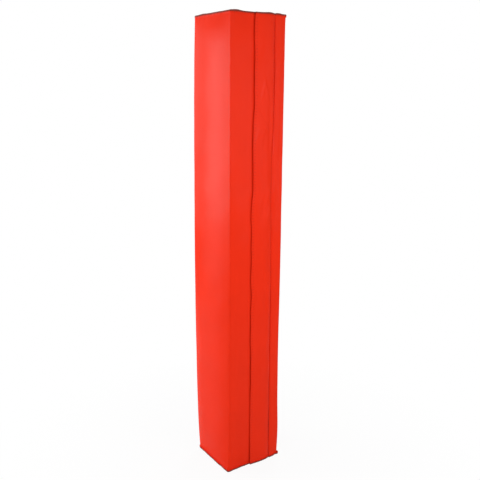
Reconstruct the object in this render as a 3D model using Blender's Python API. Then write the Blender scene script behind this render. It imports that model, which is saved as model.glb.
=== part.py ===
"""A square wrap-round pad for a sports column, 1.83 m tall.

Four foam panels stand in vinyl pockets round a square column. A strip of the outer vinyl joins each
panel to the next along three corners, and bends there as a living hinge. At the fourth corner the
front panel butts against the inside of the right panel, and a flap sewn to the right panel covers
the joint and holds it with hook and loop tape.

The origin is on the column's centre line, on the floor. X runs to the right along the flap face, Y
runs away from that face and Z runs up.
"""

import math
from dataclasses import dataclass

import bmesh
import bpy

# Driving dimensions, in metres
PAD_WIDTH = 0.254
PAD_DEPTH = 0.254
PAD_HEIGHT = 1.829
PANEL_THICKNESS = 0.0508
VINYL = 0.0012
SEAM_LAP = 0.006
FIT_GAP = 0.0004

# Form of the filled panels
FACE_CROWN = 0.005
STRIP_CROWN = 0.001
END_RADIUS = 0.010
FOOT_PINCH = 0.005
HEAD_PINCH = 0.003
PINCH_LENGTH = 0.12
END_FULLNESS = 0.3

# Fold webs, the strips of outer vinyl that bend at the corners
WEB_RADIUS = 0.004
WEB_LAP = 0.018
SWING_CLEARANCE = 0.0008

# Sewn hems round the two ends
HEM_HEIGHT = 0.010
HEM_THICKNESS = 0.0024

# Closure flap and its tape
FLAP_EDGE = 0.1025
FLAP_SLANT = 0.0065
FLAP_SLANT_START = 0.95
FLAP_CROWN = 0.008
FLAP_END_FULLNESS = 0.65
FLAP_LIFT = 0.001
TURNED_EDGE = 0.010
TAPE_WIDTH = 0.050
TAPE_INSET = 0.015
TAPE_END = 0.025
TAPE_THICKNESS = 0.0012
PUCKER_DEPTH = 0.0015
PUCKER_PITCH = 0.16
PUCKER_LEAN = 0.7
PUCKER_MIDDLE = 1.18
PUCKER_REACH = 0.42

# Steps of the skinned shapes
FACE_STEPS = 8
PLAIN_STEPS = 5
SEAT_STEPS = 7
ARC_STEPS = 4
STRIP_STEPS = 3
FLAP_STEPS = 10
END_STEPS = 5
MIDDLE_STEPS = 8
PUCKER_STEPS = 34

# Places worked out from the sizes above
CAP_TOP = PAD_HEIGHT - HEM_HEIGHT
FLAP_ROOT = PAD_WIDTH - PANEL_THICKNESS
FLAP_STACK = 2 * VINYL + 2 * TAPE_THICKNESS + 4 * FIT_GAP
CORE_INSET = VINYL + FIT_GAP
FOLD_DEPTH = WEB_RADIUS - (WEB_RADIUS - VINYL / 2) / math.sqrt(2)
MITRE_GAP = FIT_GAP / math.sqrt(2)

# Colours as red, green, blue, then roughness
RED_VINYL = ("red_vinyl", (0.80, 0.030, 0.012), 0.38)
RED_HEM = ("red_hem", (0.62, 0.025, 0.012), 0.45)
RED_LINING = ("red_lining", (0.66, 0.030, 0.015), 0.60)
PAD_FOAM = ("pad_foam", (0.82, 0.80, 0.74), 0.95)
TAPE_BLACK = ("tape_black", (0.02, 0.02, 0.02), 0.90)


def front_length():
    """How far the front panel reaches, so that its inner corner clears the right panel as it swings."""
    reach = PAD_WIDTH - PANEL_THICKNESS - SWING_CLEARANCE - FOLD_DEPTH
    return FOLD_DEPTH + math.sqrt(reach**2 - (PANEL_THICKNESS - FOLD_DEPTH) ** 2)


def end_share(z):
    """How near a height is to the foot and to the head, each from 0 to 1."""
    foot = min(1.0, max(0.0, 1 - z / PINCH_LENGTH))
    head = min(1.0, max(0.0, 1 - (CAP_TOP - z) / PINCH_LENGTH))
    return foot**2, head**2


def pinch(z):
    """How far the end seams draw the faces in at a height."""
    foot, head = end_share(z)
    return FOOT_PINCH * foot + HEAD_PINCH * head


def fullness(z, at_ends):
    """Share of the crown that is left at a height: all of it between the ends."""
    foot, head = end_share(z)
    return 1 - (1 - at_ends) * max(foot, head)


def flap_edge(z):
    """Where the flap's free edge lies along the front face: it leans towards the head."""
    rise = max(0.0, z - FLAP_SLANT_START) / (PAD_HEIGHT - FLAP_SLANT_START)
    return FLAP_EDGE + FLAP_SLANT * rise


def flap_depth(s, z):
    """Depth of the flap's outer side, which is crowned between its free edge and its root."""
    edge = flap_edge(z)
    share = min(1.0, max(0.0, (s - edge) / (FLAP_ROOT - edge)))
    dome = 1 - abs(2 * share - 1) ** 3
    return pinch(z) * (1 - dome) - FLAP_CROWN * fullness(z, FLAP_END_FULLNESS) * dome


def seat_depth(s, z):
    """Depth of the front panel's face: it sinks from the corner to the flap, then lies under it."""
    edge = flap_edge(z)
    if s >= edge:
        return flap_depth(s, z) + FLAP_STACK
    share = max(0.0, (s - WEB_LAP) / (edge - WEB_LAP))
    return pinch(z) + FLAP_STACK * (1 - (1 - share) ** 3)


def crown_depth(s, z, face_end):
    """Depth of a plain face: crowned outwards between its two edges."""
    share = min(1.0, max(0.0, (s - WEB_LAP) / (face_end - WEB_LAP)))
    return pinch(z) - FACE_CROWN * fullness(z, END_FULLNESS) * 4 * share * (1 - share)


def pucker(s, z):
    """How far the flap's shallow slanting folds stand out."""
    edge = flap_edge(z)
    share = (s - edge) / (FLAP_ROOT - edge)
    window = max(0.0, 1 - ((z - PUCKER_MIDDLE) / PUCKER_REACH) ** 2)
    across = max(0.0, 4 * share * (1 - share))
    return PUCKER_DEPTH * window * across * math.sin(math.pi * (z / PUCKER_PITCH + PUCKER_LEAN * share)) ** 2


@dataclass(frozen=True)
class Panel:
    """One padded panel. s runs along its outer face from its first fold, d runs in from that face."""

    name: str
    corner: tuple
    along: tuple
    inward: tuple
    length: float
    closes: bool = False
    wraps_end: bool = False
    under_flap: bool = False

    def place(self, s, d, z):
        """Turns a place on the panel into world coordinates."""
        x = self.corner[0] + self.along[0] * s + self.inward[0] * d
        y = self.corner[1] + self.along[1] * s + self.inward[1] * d
        return x, y, z

    def stop(self, z):
        """Where the face ends: at the next fold, or at the closing end, which its seams draw in."""
        return self.length - pinch(z) if self.wraps_end else self.length

    def face_end(self, z):
        """Where the flat of the face ends, before the next fold web or the closing end's round."""
        return self.stop(z) - END_RADIUS if self.closes else self.length - WEB_LAP

    def depth(self, s, z):
        """Depth of the face's outer side."""
        return seat_depth(s, z) if self.under_flap else crown_depth(s, z, self.face_end(z))

    def face_steps(self, z):
        """Places along the face where its shape is worked out."""
        first = WEB_LAP + FIT_GAP / 2
        last = self.face_end(z) - (0 if self.closes else FIT_GAP / 2)
        if not self.under_flap:
            return spread(first, last, FACE_STEPS)
        return spread(first, flap_edge(z), PLAIN_STEPS) + spread(flap_edge(z), last, SEAT_STEPS)[1:]

    def end_line(self, z, inset, deep):
        """The closing end, from the round at the face to a depth."""
        centre = self.depth(self.face_end(z), z) + END_RADIUS
        radius = END_RADIUS - inset
        line = []
        for angle in spread(0, math.pi / 2, ARC_STEPS)[1:]:
            line.append((self.face_end(z) + radius * math.sin(angle), centre - radius * math.cos(angle)))
        for share in spread(0, 1, STRIP_STEPS)[1:]:
            crown = STRIP_CROWN * 4 * share * (1 - share) if self.wraps_end else 0
            line.append((self.stop(z) - inset + crown, centre + (deep - centre) * share))
        return line

    def face_line(self, z, inset, deep):
        """The line round the panel's outside: its face and, where it closes, its end."""
        line = [(s, self.depth(s, z) + inset) for s in self.face_steps(z)]
        return line + self.end_line(z, inset, deep) if self.closes else line

    def turned_in(self, z, inset):
        """Where the face's vinyl ends, turned in on the closing end's inner side, or nothing."""
        return [(self.stop(z) - SEAM_LAP, PANEL_THICKNESS - inset)] if self.closes else []

    def hem_line(self, z, inset):
        """The line that a hem follows: the face, up to the folds' rounds, and the end that shows."""
        start = WEB_RADIUS + pinch(z)
        line = [(start, pinch(z) + inset)] + [(s, self.depth(s, z) + inset) for s in self.face_steps(z)]
        if self.wraps_end:
            return line + self.end_line(z, inset, PANEL_THICKNESS)
        return line if self.closes else line + [(self.length - start, pinch(z) + inset)]

    def head_hem_line(self, z, inset):
        """The line of the standing hem, which stops short of the fold webs beside it."""
        line = [(s, self.depth(s, z) + inset) for s in self.face_steps(z)]
        return line + self.end_line(z, inset, PANEL_THICKNESS) if self.wraps_end else line

    def pocket_line(self, z):
        """The line of the pocket: mitred wall, inner face and mitred wall."""
        wall = WEB_RADIUS + pinch(z)
        line = [(wall + MITRE_GAP, wall), (PANEL_THICKNESS + MITRE_GAP, PANEL_THICKNESS)]
        if self.closes:
            return line + [(self.stop(z) - SEAM_LAP - FIT_GAP, PANEL_THICKNESS)]
        far = self.length - MITRE_GAP
        return line + [(far - PANEL_THICKNESS, PANEL_THICKNESS), (far - wall, wall)]

    def core_outline(self, z):
        """The outline that fills the pocket, one fit gap inside its vinyl all round."""
        deep = PANEL_THICKNESS - CORE_INSET
        wall = WEB_RADIUS + pinch(z)
        side = MITRE_GAP + CORE_INSET * math.sqrt(2)
        outline = [(deep + side, deep), (wall + side, wall)] + self.face_line(z, CORE_INSET, deep)
        if self.closes:
            return outline
        return outline + [(self.length - wall - side, wall), (self.length - deep - side, deep)]


def spread(first, last, steps):
    """Evenly spaced values from first to last."""
    return [first + (last - first) * i / steps for i in range(steps + 1)]


def heights(low, high):
    """Heights at which a shape is worked out: close together where the ends are drawn in."""
    foot = spread(0, PINCH_LENGTH, END_STEPS)
    head = spread(CAP_TOP - PINCH_LENGTH, CAP_TOP, END_STEPS)
    middle = spread(PINCH_LENGTH, CAP_TOP - PINCH_LENGTH, MIDDLE_STEPS)[1:-1]
    between = [z for z in foot + middle + head if low + VINYL < z < high - VINYL]
    return [low] + between + [high]


def moved_aside(line, distance):
    """Moves an open line to the right of its run by a distance, with an even wall at its corners."""
    normals = []
    for (s0, d0), (s1, d1) in zip(line, line[1:]):
        run = math.hypot(s1 - s0, d1 - d0)
        normals.append(((d1 - d0) / run, (s0 - s1) / run))
    moved = []
    for (s, d), (ax, ay), (bx, by) in zip(line, normals[:1] + normals, normals + normals[-1:]):
        scale = distance / (1 + ax * bx + ay * by)
        moved.append((s + (ax + bx) * scale, d + (ay + by) * scale))
    return moved


def material(finish):
    """A plain material from a name, a colour and a roughness, made once."""
    name, colour, roughness = finish
    made = bpy.data.materials.get(name)
    if made is None:
        made = bpy.data.materials.new(name)
        made.use_nodes = True
        shader = made.node_tree.nodes["Principled BSDF"]
        shader.inputs["Base Color"].default_value = (*colour, 1)
        shader.inputs["Roughness"].default_value = roughness
        made.diffuse_color = (*colour, 1)
    return made


def skin(name, levels, outline, place, finish, pivot):
    """Makes one closed solid through an outline at each level, on the empty that carries it."""
    mesh = bmesh.new()
    rings = [[mesh.verts.new(place(s, d, z)) for s, d in outline(z)] for z in levels]
    for low, high in zip(rings, rings[1:]):
        for i, vertex in enumerate(low):
            j = (i + 1) % len(low)
            mesh.faces.new((vertex, low[j], high[j], high[i]))
    caps = [mesh.faces.new(rings[0]), mesh.faces.new(rings[-1])]
    bmesh.ops.triangulate(mesh, faces=caps)
    bmesh.ops.recalc_face_normals(mesh, faces=mesh.faces)
    bmesh.ops.translate(mesh, verts=mesh.verts, vec=(-pivot["world"][0], -pivot["world"][1], 0))
    data = bpy.data.meshes.new(name)
    mesh.to_mesh(data)
    mesh.free()
    made = bpy.data.objects.new(name, data)
    bpy.context.scene.collection.objects.link(made)
    made.parent = pivot["empty"]
    data.materials.append(material(finish))
    data.shade_smooth()
    data.set_sharp_from_angle(angle=math.radians(30))
    return made


def sheet(line, other):
    """The closed outline of a sheet between two lines that run the same way."""
    return line + other[::-1]


def make_pivot(name, parent, x, y):
    """An empty on an upright joint axis, on the empty of the body that carries it."""
    empty = bpy.data.objects.new(name, None)
    bpy.context.scene.collection.objects.link(empty)
    carried = parent["world"] if parent else (0, 0)
    empty.parent = parent["empty"] if parent else None
    empty.location = (x - carried[0], y - carried[1], 0)
    return {"empty": empty, "world": (x, y)}


def make_foam(panel, pivot):
    """The foam slab inside the pocket."""
    inset = VINYL + FIT_GAP
    levels = heights(inset, CAP_TOP - inset)
    skin(f"{panel.name}_foam", levels, panel.core_outline, panel.place, PAD_FOAM, pivot)


def make_face_sheet(panel, pivot):
    """The outer vinyl over the face. On a panel that closes the pad it turns in round the end."""

    def outline(z):
        outer = panel.face_line(z, 0, PANEL_THICKNESS) + panel.turned_in(z, 0)
        inner = panel.face_line(z, VINYL, PANEL_THICKNESS - VINYL) + panel.turned_in(z, VINYL)
        return sheet(outer, inner)

    skin(f"{panel.name}_face_sheet", heights(0, CAP_TOP), outline, panel.place, RED_VINYL, pivot)


def make_pocket_sheet(panel, pivot):
    """The vinyl of the mitred walls and of the face that the column touches."""

    def outline(z):
        line = panel.pocket_line(z)
        return sheet(line, moved_aside(line, VINYL))

    skin(f"{panel.name}_pocket_sheet", heights(0, CAP_TOP), outline, panel.place, RED_LINING, pivot)


def make_gussets(panel, pivot):
    """The two plates of vinyl that close the pocket at its foot and its head."""
    for end, low in (("foot", 0), ("head", CAP_TOP - VINYL)):
        levels = [low, low + VINYL]
        skin(f"{panel.name}_{end}_gusset", levels, panel.core_outline, panel.place, RED_VINYL, pivot)


def make_hems(panel, pivot):
    """The foot hem, pressed against the outside of the face, and the head hem, which stands up."""

    def foot(z):
        inner = panel.hem_line(z, -FIT_GAP)
        return sheet(panel.hem_line(z, -FIT_GAP - HEM_THICKNESS), inner)

    def head(z):
        return sheet(panel.head_hem_line(z, 0), panel.head_hem_line(z, HEM_THICKNESS))

    skin(f"{panel.name}_foot_hem", spread(0, HEM_HEIGHT, 2), foot, panel.place, RED_HEM, pivot)
    levels = spread(CAP_TOP + FIT_GAP, PAD_HEIGHT, 2)
    skin(f"{panel.name}_head_hem", levels, head, panel.place, RED_HEM, pivot)


def make_panel(panel, pivot):
    """All the pieces of one panel."""
    make_foam(panel, pivot)
    make_face_sheet(panel, pivot)
    make_pocket_sheet(panel, pivot)
    make_gussets(panel, pivot)
    make_hems(panel, pivot)


def make_fold_web(name, side_x, side_y, pivot):
    """The strip of outer vinyl that rounds a corner and bends when the panels open."""

    def place(a, b, z):
        return side_x * (PAD_WIDTH / 2 - a), side_y * (PAD_DEPTH / 2 - b), z

    def line(z, inset):
        drawn = pinch(z)
        lap = WEB_LAP - FIT_GAP / 2
        centre = WEB_RADIUS + drawn
        points = [(lap, drawn + inset)]
        for angle in spread(0, math.pi / 2, ARC_STEPS):
            reach = WEB_RADIUS - inset
            points.append((centre - reach * math.sin(angle), centre - reach * math.cos(angle)))
        return points + [(drawn + inset, lap)]

    def outline(z):
        return sheet(line(z, 0), line(z, VINYL))

    skin(name, heights(0, CAP_TOP) + [PAD_HEIGHT], outline, place, RED_VINYL, pivot)


def flap_line(z, layer, first, last, folded=0):
    """A line across the flap at one layer's depth, between two places along the front face."""
    steps = spread(first, last, FLAP_STEPS)
    return [(s, flap_depth(s, z) + layer - folded * pucker(s, z)) for s in steps]


def make_flap(front, pivot):
    """The closure flap: outer sheet with a turned edge, lining, hems and the hook tape."""
    root = FLAP_ROOT - FIT_GAP
    lining_depth = VINYL + FIT_GAP
    hook_depth = lining_depth + VINYL + FIT_GAP

    def outer(z):
        edge = flap_edge(z)
        inside = flap_line(z, VINYL, edge + TURNED_EDGE, root, 1)
        turned = [(edge + TURNED_EDGE, 2 * VINYL), (edge, 2 * VINYL)]
        turned = [(s, flap_depth(s, z) + layer - pucker(s, z)) for s, layer in turned]
        return flap_line(z, 0, edge, root, 1) + inside[::-1] + turned

    def lining(z):
        start = flap_edge(z) + TURNED_EDGE + FIT_GAP
        upper = flap_line(z, lining_depth, start, root)
        return sheet(upper, flap_line(z, lining_depth + VINYL, start, root))

    def foot_hem(z):
        edge = flap_edge(z)
        upper = flap_line(z, -FIT_GAP - HEM_THICKNESS, edge, root)
        return sheet(upper, flap_line(z, -FIT_GAP, edge, root))

    def head_hem(z):
        edge = flap_edge(z)
        return sheet(flap_line(z, 0, edge, root), flap_line(z, HEM_THICKNESS, edge, root))

    low, high = FLAP_LIFT, CAP_TOP
    fine = spread(low, high, PUCKER_STEPS)
    skin("closure_flap", fine, outer, front.place, RED_VINYL, pivot)
    skin("flap_lining", heights(low, high), lining, front.place, RED_LINING, pivot)
    skin("flap_foot_hem", spread(low, low + HEM_HEIGHT, 2), foot_hem, front.place, RED_HEM, pivot)
    levels = spread(high + FIT_GAP, PAD_HEIGHT, 2)
    skin("flap_head_hem", levels, head_hem, front.place, RED_HEM, pivot)
    make_tape("hook_tape", hook_depth, front, pivot)


def make_tape(name, depth, front, pivot):
    """One strip of hook or loop tape, at its depth in the stack between the flap and the panel."""

    def outline(z):
        first = flap_edge(z) + TAPE_INSET
        upper = flap_line(z, depth, first, first + TAPE_WIDTH)
        return sheet(upper, flap_line(z, depth + TAPE_THICKNESS, first, first + TAPE_WIDTH))

    skin(name, heights(TAPE_END, CAP_TOP - TAPE_END), outline, front.place, TAPE_BLACK, pivot)


def make_pad():
    """Builds the whole pad: the back panel stands still and the others fold away from it."""
    x, y = PAD_WIDTH / 2, PAD_DEPTH / 2
    back = Panel("back", (-x, y), (1, 0), (0, -1), PAD_WIDTH)
    left = Panel("left", (-x, y), (0, -1), (1, 0), PAD_DEPTH)
    right = Panel("right", (x, y), (0, -1), (-1, 0), PAD_DEPTH, closes=True, wraps_end=True)
    front = Panel("front", (-x, -y), (1, 0), (0, 1), front_length(), closes=True, under_flap=True)

    fold_x, fold_y = x - FOLD_DEPTH, y - FOLD_DEPTH
    base = make_pivot("pad_base", None, 0, 0)
    back_left = make_pivot("back_left_fold_axis", base, -fold_x, fold_y)
    back_right = make_pivot("back_right_fold_axis", base, fold_x, fold_y)
    front_left = make_pivot("front_left_fold_axis", back_left, -fold_x, -fold_y)
    flap = make_pivot("flap_peel_axis", back_right, x - PANEL_THICKNESS, -y)

    make_panel(back, base)
    make_panel(left, back_left)
    make_panel(right, back_right)
    make_panel(front, front_left)
    make_fold_web("back_left_fold_web", -1, 1, back_left)
    make_fold_web("back_right_fold_web", 1, 1, back_right)
    make_fold_web("front_left_fold_web", -1, -1, front_left)
    make_flap(front, flap)
    make_tape("loop_tape", FLAP_STACK - TAPE_THICKNESS - FIT_GAP, front, front_left)


for leftover in list(bpy.data.objects):
    bpy.data.objects.remove(leftover)
make_pad()
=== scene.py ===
"""Looks of a tall square pad for a sports column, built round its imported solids.

The pad is four foam panels in sewn vinyl. Its outer vinyl is worked out as one surface that runs
from the front panel's closing end round the whole pad to the strip beside the flap. That surface is
then cut into the pieces that part when the pad opens: four face sheets and three fold webs.

Lengths are in metres. X runs to the right along the flap face, Y runs in through the pad and Z up.
"""

import logging
import math
from dataclasses import dataclass, field
from enum import Enum

import bmesh
import bpy
import numpy as np
from mathutils import Matrix, Vector
from mathutils.geometry import delaunay_2d_cdt


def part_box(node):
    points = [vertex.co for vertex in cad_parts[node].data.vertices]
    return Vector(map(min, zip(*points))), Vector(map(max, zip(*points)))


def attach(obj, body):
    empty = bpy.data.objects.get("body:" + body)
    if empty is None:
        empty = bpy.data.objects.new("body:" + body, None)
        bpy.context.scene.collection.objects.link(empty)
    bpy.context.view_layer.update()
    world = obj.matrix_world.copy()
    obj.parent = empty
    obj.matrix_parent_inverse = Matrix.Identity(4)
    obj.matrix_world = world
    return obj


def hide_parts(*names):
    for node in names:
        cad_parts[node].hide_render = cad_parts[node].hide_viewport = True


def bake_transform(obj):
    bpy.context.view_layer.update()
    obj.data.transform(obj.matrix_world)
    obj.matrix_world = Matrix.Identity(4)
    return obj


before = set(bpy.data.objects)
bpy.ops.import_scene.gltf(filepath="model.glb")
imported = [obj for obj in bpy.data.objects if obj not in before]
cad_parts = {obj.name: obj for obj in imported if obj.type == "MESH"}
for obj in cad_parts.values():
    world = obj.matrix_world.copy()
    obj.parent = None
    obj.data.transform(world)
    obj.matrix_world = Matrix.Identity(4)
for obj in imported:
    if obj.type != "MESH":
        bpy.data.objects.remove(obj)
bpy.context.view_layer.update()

LOG = logging.getLogger("column_pad")
MM = 0.001
# Attribute that carries the painted shade along the hems' folded edges.
HEM_EDGE_SHADE = "hem_edge"
SHARP_ANGLE = math.radians(50)
REACH_PER_RADIUS = 0.735
MIX_FACTOR, MIX_FIRST, MIX_SECOND, MIX_RESULT = 0, 6, 7, 2


class Turn(Enum):
    """Corners of the outer vinyl, in the order in which it runs round the pad."""

    FRONT_LAP = 0
    FRONT_END_INNER = 1
    FRONT_END_OUTER = 2
    FRONT_LEFT = 3
    BACK_LEFT = 4
    BACK_RIGHT = 5
    FRONT_RIGHT = 6
    STRIP_EDGE = 7
    STRIP_LAP = 8


class End(Enum):
    """The two ends of the pad."""

    FOOT = "foot"
    HEAD = "head"


@dataclass(frozen=True)
class PadSizes:
    """Overall sizes of the pad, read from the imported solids."""

    half_x: float
    half_y: float
    cap_top: float
    height: float
    thickness: float
    front_length: float
    flap_root: float

    @classmethod
    def from_frame(cls) -> "PadSizes":
        """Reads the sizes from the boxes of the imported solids.

        Returns:
            The sizes, in metres.
        """
        web_low, web_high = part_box("front_left_fold_web")
        half_x = -web_low.x
        left_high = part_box("left_face_sheet")[1]
        return cls(
            half_x=half_x,
            half_y=-web_low.y,
            cap_top=left_high.z,
            height=web_high.z,
            thickness=half_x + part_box("left_pocket_sheet")[1].x,
            front_length=half_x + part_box("front_face_sheet")[1].x,
            flap_root=half_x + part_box("closure_flap")[1].x,
        )


SIZES = PadSizes.from_frame()


@dataclass(frozen=True)
class Profile:
    """A size that changes smoothly with height, given at a few heights."""

    knots: tuple[tuple[float, float], ...]

    @classmethod
    def steady(cls, value: float) -> "Profile":
        """The same size at every height."""
        return cls(((0, value), (SIZES.cap_top, value)))

    def at(self, z: np.ndarray) -> np.ndarray:
        """Works out the size at some heights.

        Args:
            z: Heights.

        Returns:
            The size at each height.
        """
        heights, values = np.array(self.knots, float).T
        slopes = np.gradient(values, heights)
        place = np.clip(np.searchsorted(heights, z, side="right") - 1, 0, len(heights) - 2)
        run = heights[place + 1] - heights[place]
        t = np.clip((z - heights[place]) / run, 0, 1)
        near = (1 + 2 * t) * (1 - t) ** 2 * values[place] + t * (1 - t) ** 2 * run * slopes[place]
        far = t * t * (3 - 2 * t) * values[place + 1] + t * t * (t - 1) * run * slopes[place + 1]
        return near + far


@dataclass(frozen=True)
class Ripple:
    """Uneven waves along a line: a sum of sines of unlike lengths, the same ones each time."""

    length: float
    size: float
    seed: int
    waves: int = 5

    def at(self, along: np.ndarray) -> np.ndarray:
        """Works out how far the line stands off at some places.

        Args:
            along: Places along the line.

        Returns:
            The distance at each place.
        """
        draw = np.random.default_rng(self.seed)
        total = np.zeros_like(along)
        for _ in range(self.waves):
            total += np.sin(2 * math.pi * (along / (self.length * draw.uniform(0.65, 1.7)) + draw.uniform()))
        return self.size * total / math.sqrt(self.waves)


@dataclass(frozen=True)
class Waves:
    """Soft uneven waves over the vinyl: a sum of sines that run in unlike directions."""

    shortest: float = 0.09
    longest: float = 0.26
    size: float = 0.85 * MM
    count: int = 12
    seed: int = 8

    def at(self, s: np.ndarray, z: np.ndarray) -> np.ndarray:
        """How far the waves stand out at some places.

        Args:
            s: Places along the front face.
            z: Heights.

        Returns:
            The distance at each place.
        """
        draw = np.random.default_rng(self.seed)
        total = 0
        for _ in range(self.count):
            length = draw.uniform(self.shortest, self.longest)
            way = draw.uniform(-1.2, 1.2)
            travel = z * math.cos(way) + s * math.sin(way)
            total = total + length * np.sin(2 * math.pi * (travel / length + draw.uniform()))
        return self.size * total * 2 / (self.shortest + self.longest) / math.sqrt(self.count)


@dataclass(frozen=True)
class Crease:
    """A ridge or hollow in the vinyl: its middle, the way it runs, its length and width, its height."""

    across: float
    up: float
    lean: float
    length: float
    width: float
    height: float

    def at(self, s: np.ndarray, z: np.ndarray) -> np.ndarray:
        """How far it stands out at some places."""
        ds, dz = s - self.across, z - self.up
        run = dz * math.cos(self.lean) + ds * math.sin(self.lean)
        side = ds * math.cos(self.lean) - dz * math.sin(self.lean)
        return self.height * np.exp(-((run / self.length) ** 2) - (side / self.width) ** 2)


def creased(creases: tuple[Crease, ...], s: np.ndarray, z: np.ndarray) -> np.ndarray:
    """How far some creases together stand out at some places."""
    return sum(crease.at(s, z) for crease in creases)


SOFT_WAVES = Waves()
FLAP_RIDGES = (
    Crease(0.1935, 1.40, 0.00, 0.130, 7 * MM, 1.8 * MM),
    Crease(0.152, 1.395, 0.50, 0.030, 8 * MM, 1.8 * MM),
    Crease(0.121, 1.375, 0.30, 0.035, 7 * MM, 1.4 * MM),
    Crease(0.178, 1.150, 0.25, 0.030, 8 * MM, 1.9 * MM),
    Crease(0.183, 1.085, 0.20, 0.030, 8 * MM, 1.9 * MM),
    Crease(0.187, 0.990, 0.15, 0.032, 8 * MM, 1.7 * MM),
    Crease(0.146, 1.545, 0.25, 0.055, 7 * MM, 1.6 * MM),
    Crease(0.162, 1.545, -0.25, 0.055, 7 * MM, 1.6 * MM),
    Crease(0.190, 1.660, -0.10, 0.070, 8 * MM, 1.2 * MM),
    Crease(0.150, 1.700, 0.15, 0.070, 12 * MM, 0.9 * MM),
    Crease(0.165, 0.860, -0.12, 0.120, 9 * MM, 1.3 * MM),
    Crease(0.122, 0.735, 0.05, 0.050, 7 * MM, 1.2 * MM),
    Crease(0.184, 0.620, 0.05, 0.150, 9 * MM, 1.0 * MM),
    Crease(0.150, 0.400, -0.04, 0.160, 11 * MM, 0.9 * MM),
)
DENTS = (
    Crease(0.178, 1.420, 0.00, 0.130, 9 * MM, -2.4 * MM),
    Crease(0.153, 1.350, 0.20, 0.030, 9 * MM, -1.4 * MM),
    Crease(0.145, 1.455, -0.60, 0.050, 8 * MM, -1.5 * MM),
    Crease(0.149, 1.250, 0.05, 0.060, 9 * MM, -1.4 * MM),
    Crease(0.153, 1.110, 0.15, 0.060, 9 * MM, -1.5 * MM),
    Crease(0.137, 1.510, 0.00, 0.030, 9 * MM, -1.4 * MM),
    Crease(0.171, 0.740, 0.05, 0.090, 9 * MM, -1.2 * MM),
)
FRONT_CREASES = (
    Crease(0.036, 1.580, 0.00, 0.120, 13 * MM, 1.5 * MM),
    Crease(0.062, 1.515, -0.60, 0.050, 11 * MM, 1.0 * MM),
    Crease(0.046, 1.290, 0.05, 0.055, 16 * MM, 1.3 * MM),
    Crease(0.080, 1.345, 0.30, 0.040, 15 * MM, -1.3 * MM),
    Crease(0.064, 0.955, 0.40, 0.050, 18 * MM, 1.1 * MM),
    Crease(0.060, 1.190, 1.50, 0.050, 24 * MM, -0.9 * MM),
    Crease(0.060, 1.065, 1.45, 0.050, 22 * MM, -0.8 * MM),
    Crease(0.024, 0.720, 0.10, 0.060, 16 * MM, 0.9 * MM),
)
STRIP_CREASES = (
    Crease(0.210, 1.140, 0.00, 0.100, 5 * MM, 1.3 * MM),
    Crease(0.231, 1.330, 0.03, 0.150, 8 * MM, -1.3 * MM),
    Crease(0.224, 1.620, 0.00, 0.120, 8 * MM, 1.0 * MM),
    Crease(0.228, 0.480, 0.02, 0.200, 9 * MM, 1.0 * MM),
)


def eased(share: np.ndarray) -> np.ndarray:
    """A share from 0 to 1, eased at both ends."""
    held = np.clip(share, 0, 1)
    return held * held * (3 - 2 * held)


def graded(length: float, fine: float, coarse: float, zone: float) -> np.ndarray:
    """Places along a length, close together near both ends.

    Args:
        length: The length.
        fine: Spacing within the zone at each end.
        coarse: Spacing between the zones.
        zone: Length of each end zone.

    Returns:
        The places, from 0 to the length.
    """
    if length <= 2 * zone:
        return np.linspace(0, length, max(2, round(length / fine) + 1))
    start = np.linspace(0, zone, round(zone / fine) + 1)
    middle = np.linspace(zone, length - zone, round((length - 2 * zone) / coarse) + 1)
    return np.concatenate([start, middle[1:-1], length - start[::-1]])


def rounded(line: np.ndarray, along: np.ndarray, reach: np.ndarray) -> np.ndarray:
    """Rounds the corners of an open line by averaging it with its neighbourhood.

    Args:
        line: Points of the line.
        along: Distance of each point along the line.
        reach: How far the averaging reaches at each point.

    Returns:
        The rounded points.
    """
    spacing = np.gradient(along)
    weight = np.exp(-0.5 * ((along[:, None] - along[None, :]) / reach[:, None]) ** 2) * spacing[None, :]
    return weight @ line / weight.sum(axis=1, keepdims=True)


@dataclass
class Surface:
    """A grid of points and outward normals. Rows run up, columns run along the vinyl."""

    points: np.ndarray
    normals: np.ndarray
    along: np.ndarray

    @classmethod
    def through(cls, points: np.ndarray, along: np.ndarray) -> "Surface":
        """Makes a surface through a grid of points and works out its normals.

        Args:
            points: Points, as rows by columns by three.
            along: Distance of each column along the vinyl.

        Returns:
            The surface.
        """
        normals = np.cross(np.gradient(points, axis=0), np.gradient(points, axis=1))
        normals /= np.linalg.norm(normals, axis=2, keepdims=True)
        return cls(points, normals, along)

    def part(self, first: int, last: int) -> "Surface":
        """The columns from first to last, with the same normals at the cuts."""
        keep = slice(first, last + 1)
        return Surface(self.points[:, keep], self.normals[:, keep], self.along[keep])

    def faced_from(self, inside: Vector) -> "Surface":
        """The surface with its normals turned away from a point.

        Args:
            inside: A point on the inner side.

        Returns:
            The surface, with its columns reversed where its normals pointed in.
        """
        outwards = ((self.points - np.array(inside)) * self.normals).sum()
        if outwards >= 0:
            return self
        return Surface(self.points[:, ::-1], -self.normals[:, ::-1], self.along)


def quads(index: np.ndarray) -> np.ndarray:
    """Four-cornered faces over a grid of vertex numbers."""
    corners = (index[:-1, :-1], index[1:, :-1], index[1:, 1:], index[:-1, 1:])
    return np.stack(corners, axis=-1).reshape(-1, 4)


def new_object(name: str, mesh: bpy.types.Mesh, finish: "Finish") -> bpy.types.Object:
    """Puts a mesh into the scene under a name, with a finish.

    Args:
        name: Name of the piece.
        mesh: Its mesh.
        finish: What it is made of.

    Returns:
        The new object, at the origin.
    """
    piece = bpy.data.objects.new(name, mesh)
    bpy.context.scene.collection.objects.link(piece)
    mesh.name = name
    mesh.materials.clear()
    mesh.materials.append(finish.material())
    return piece


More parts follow.
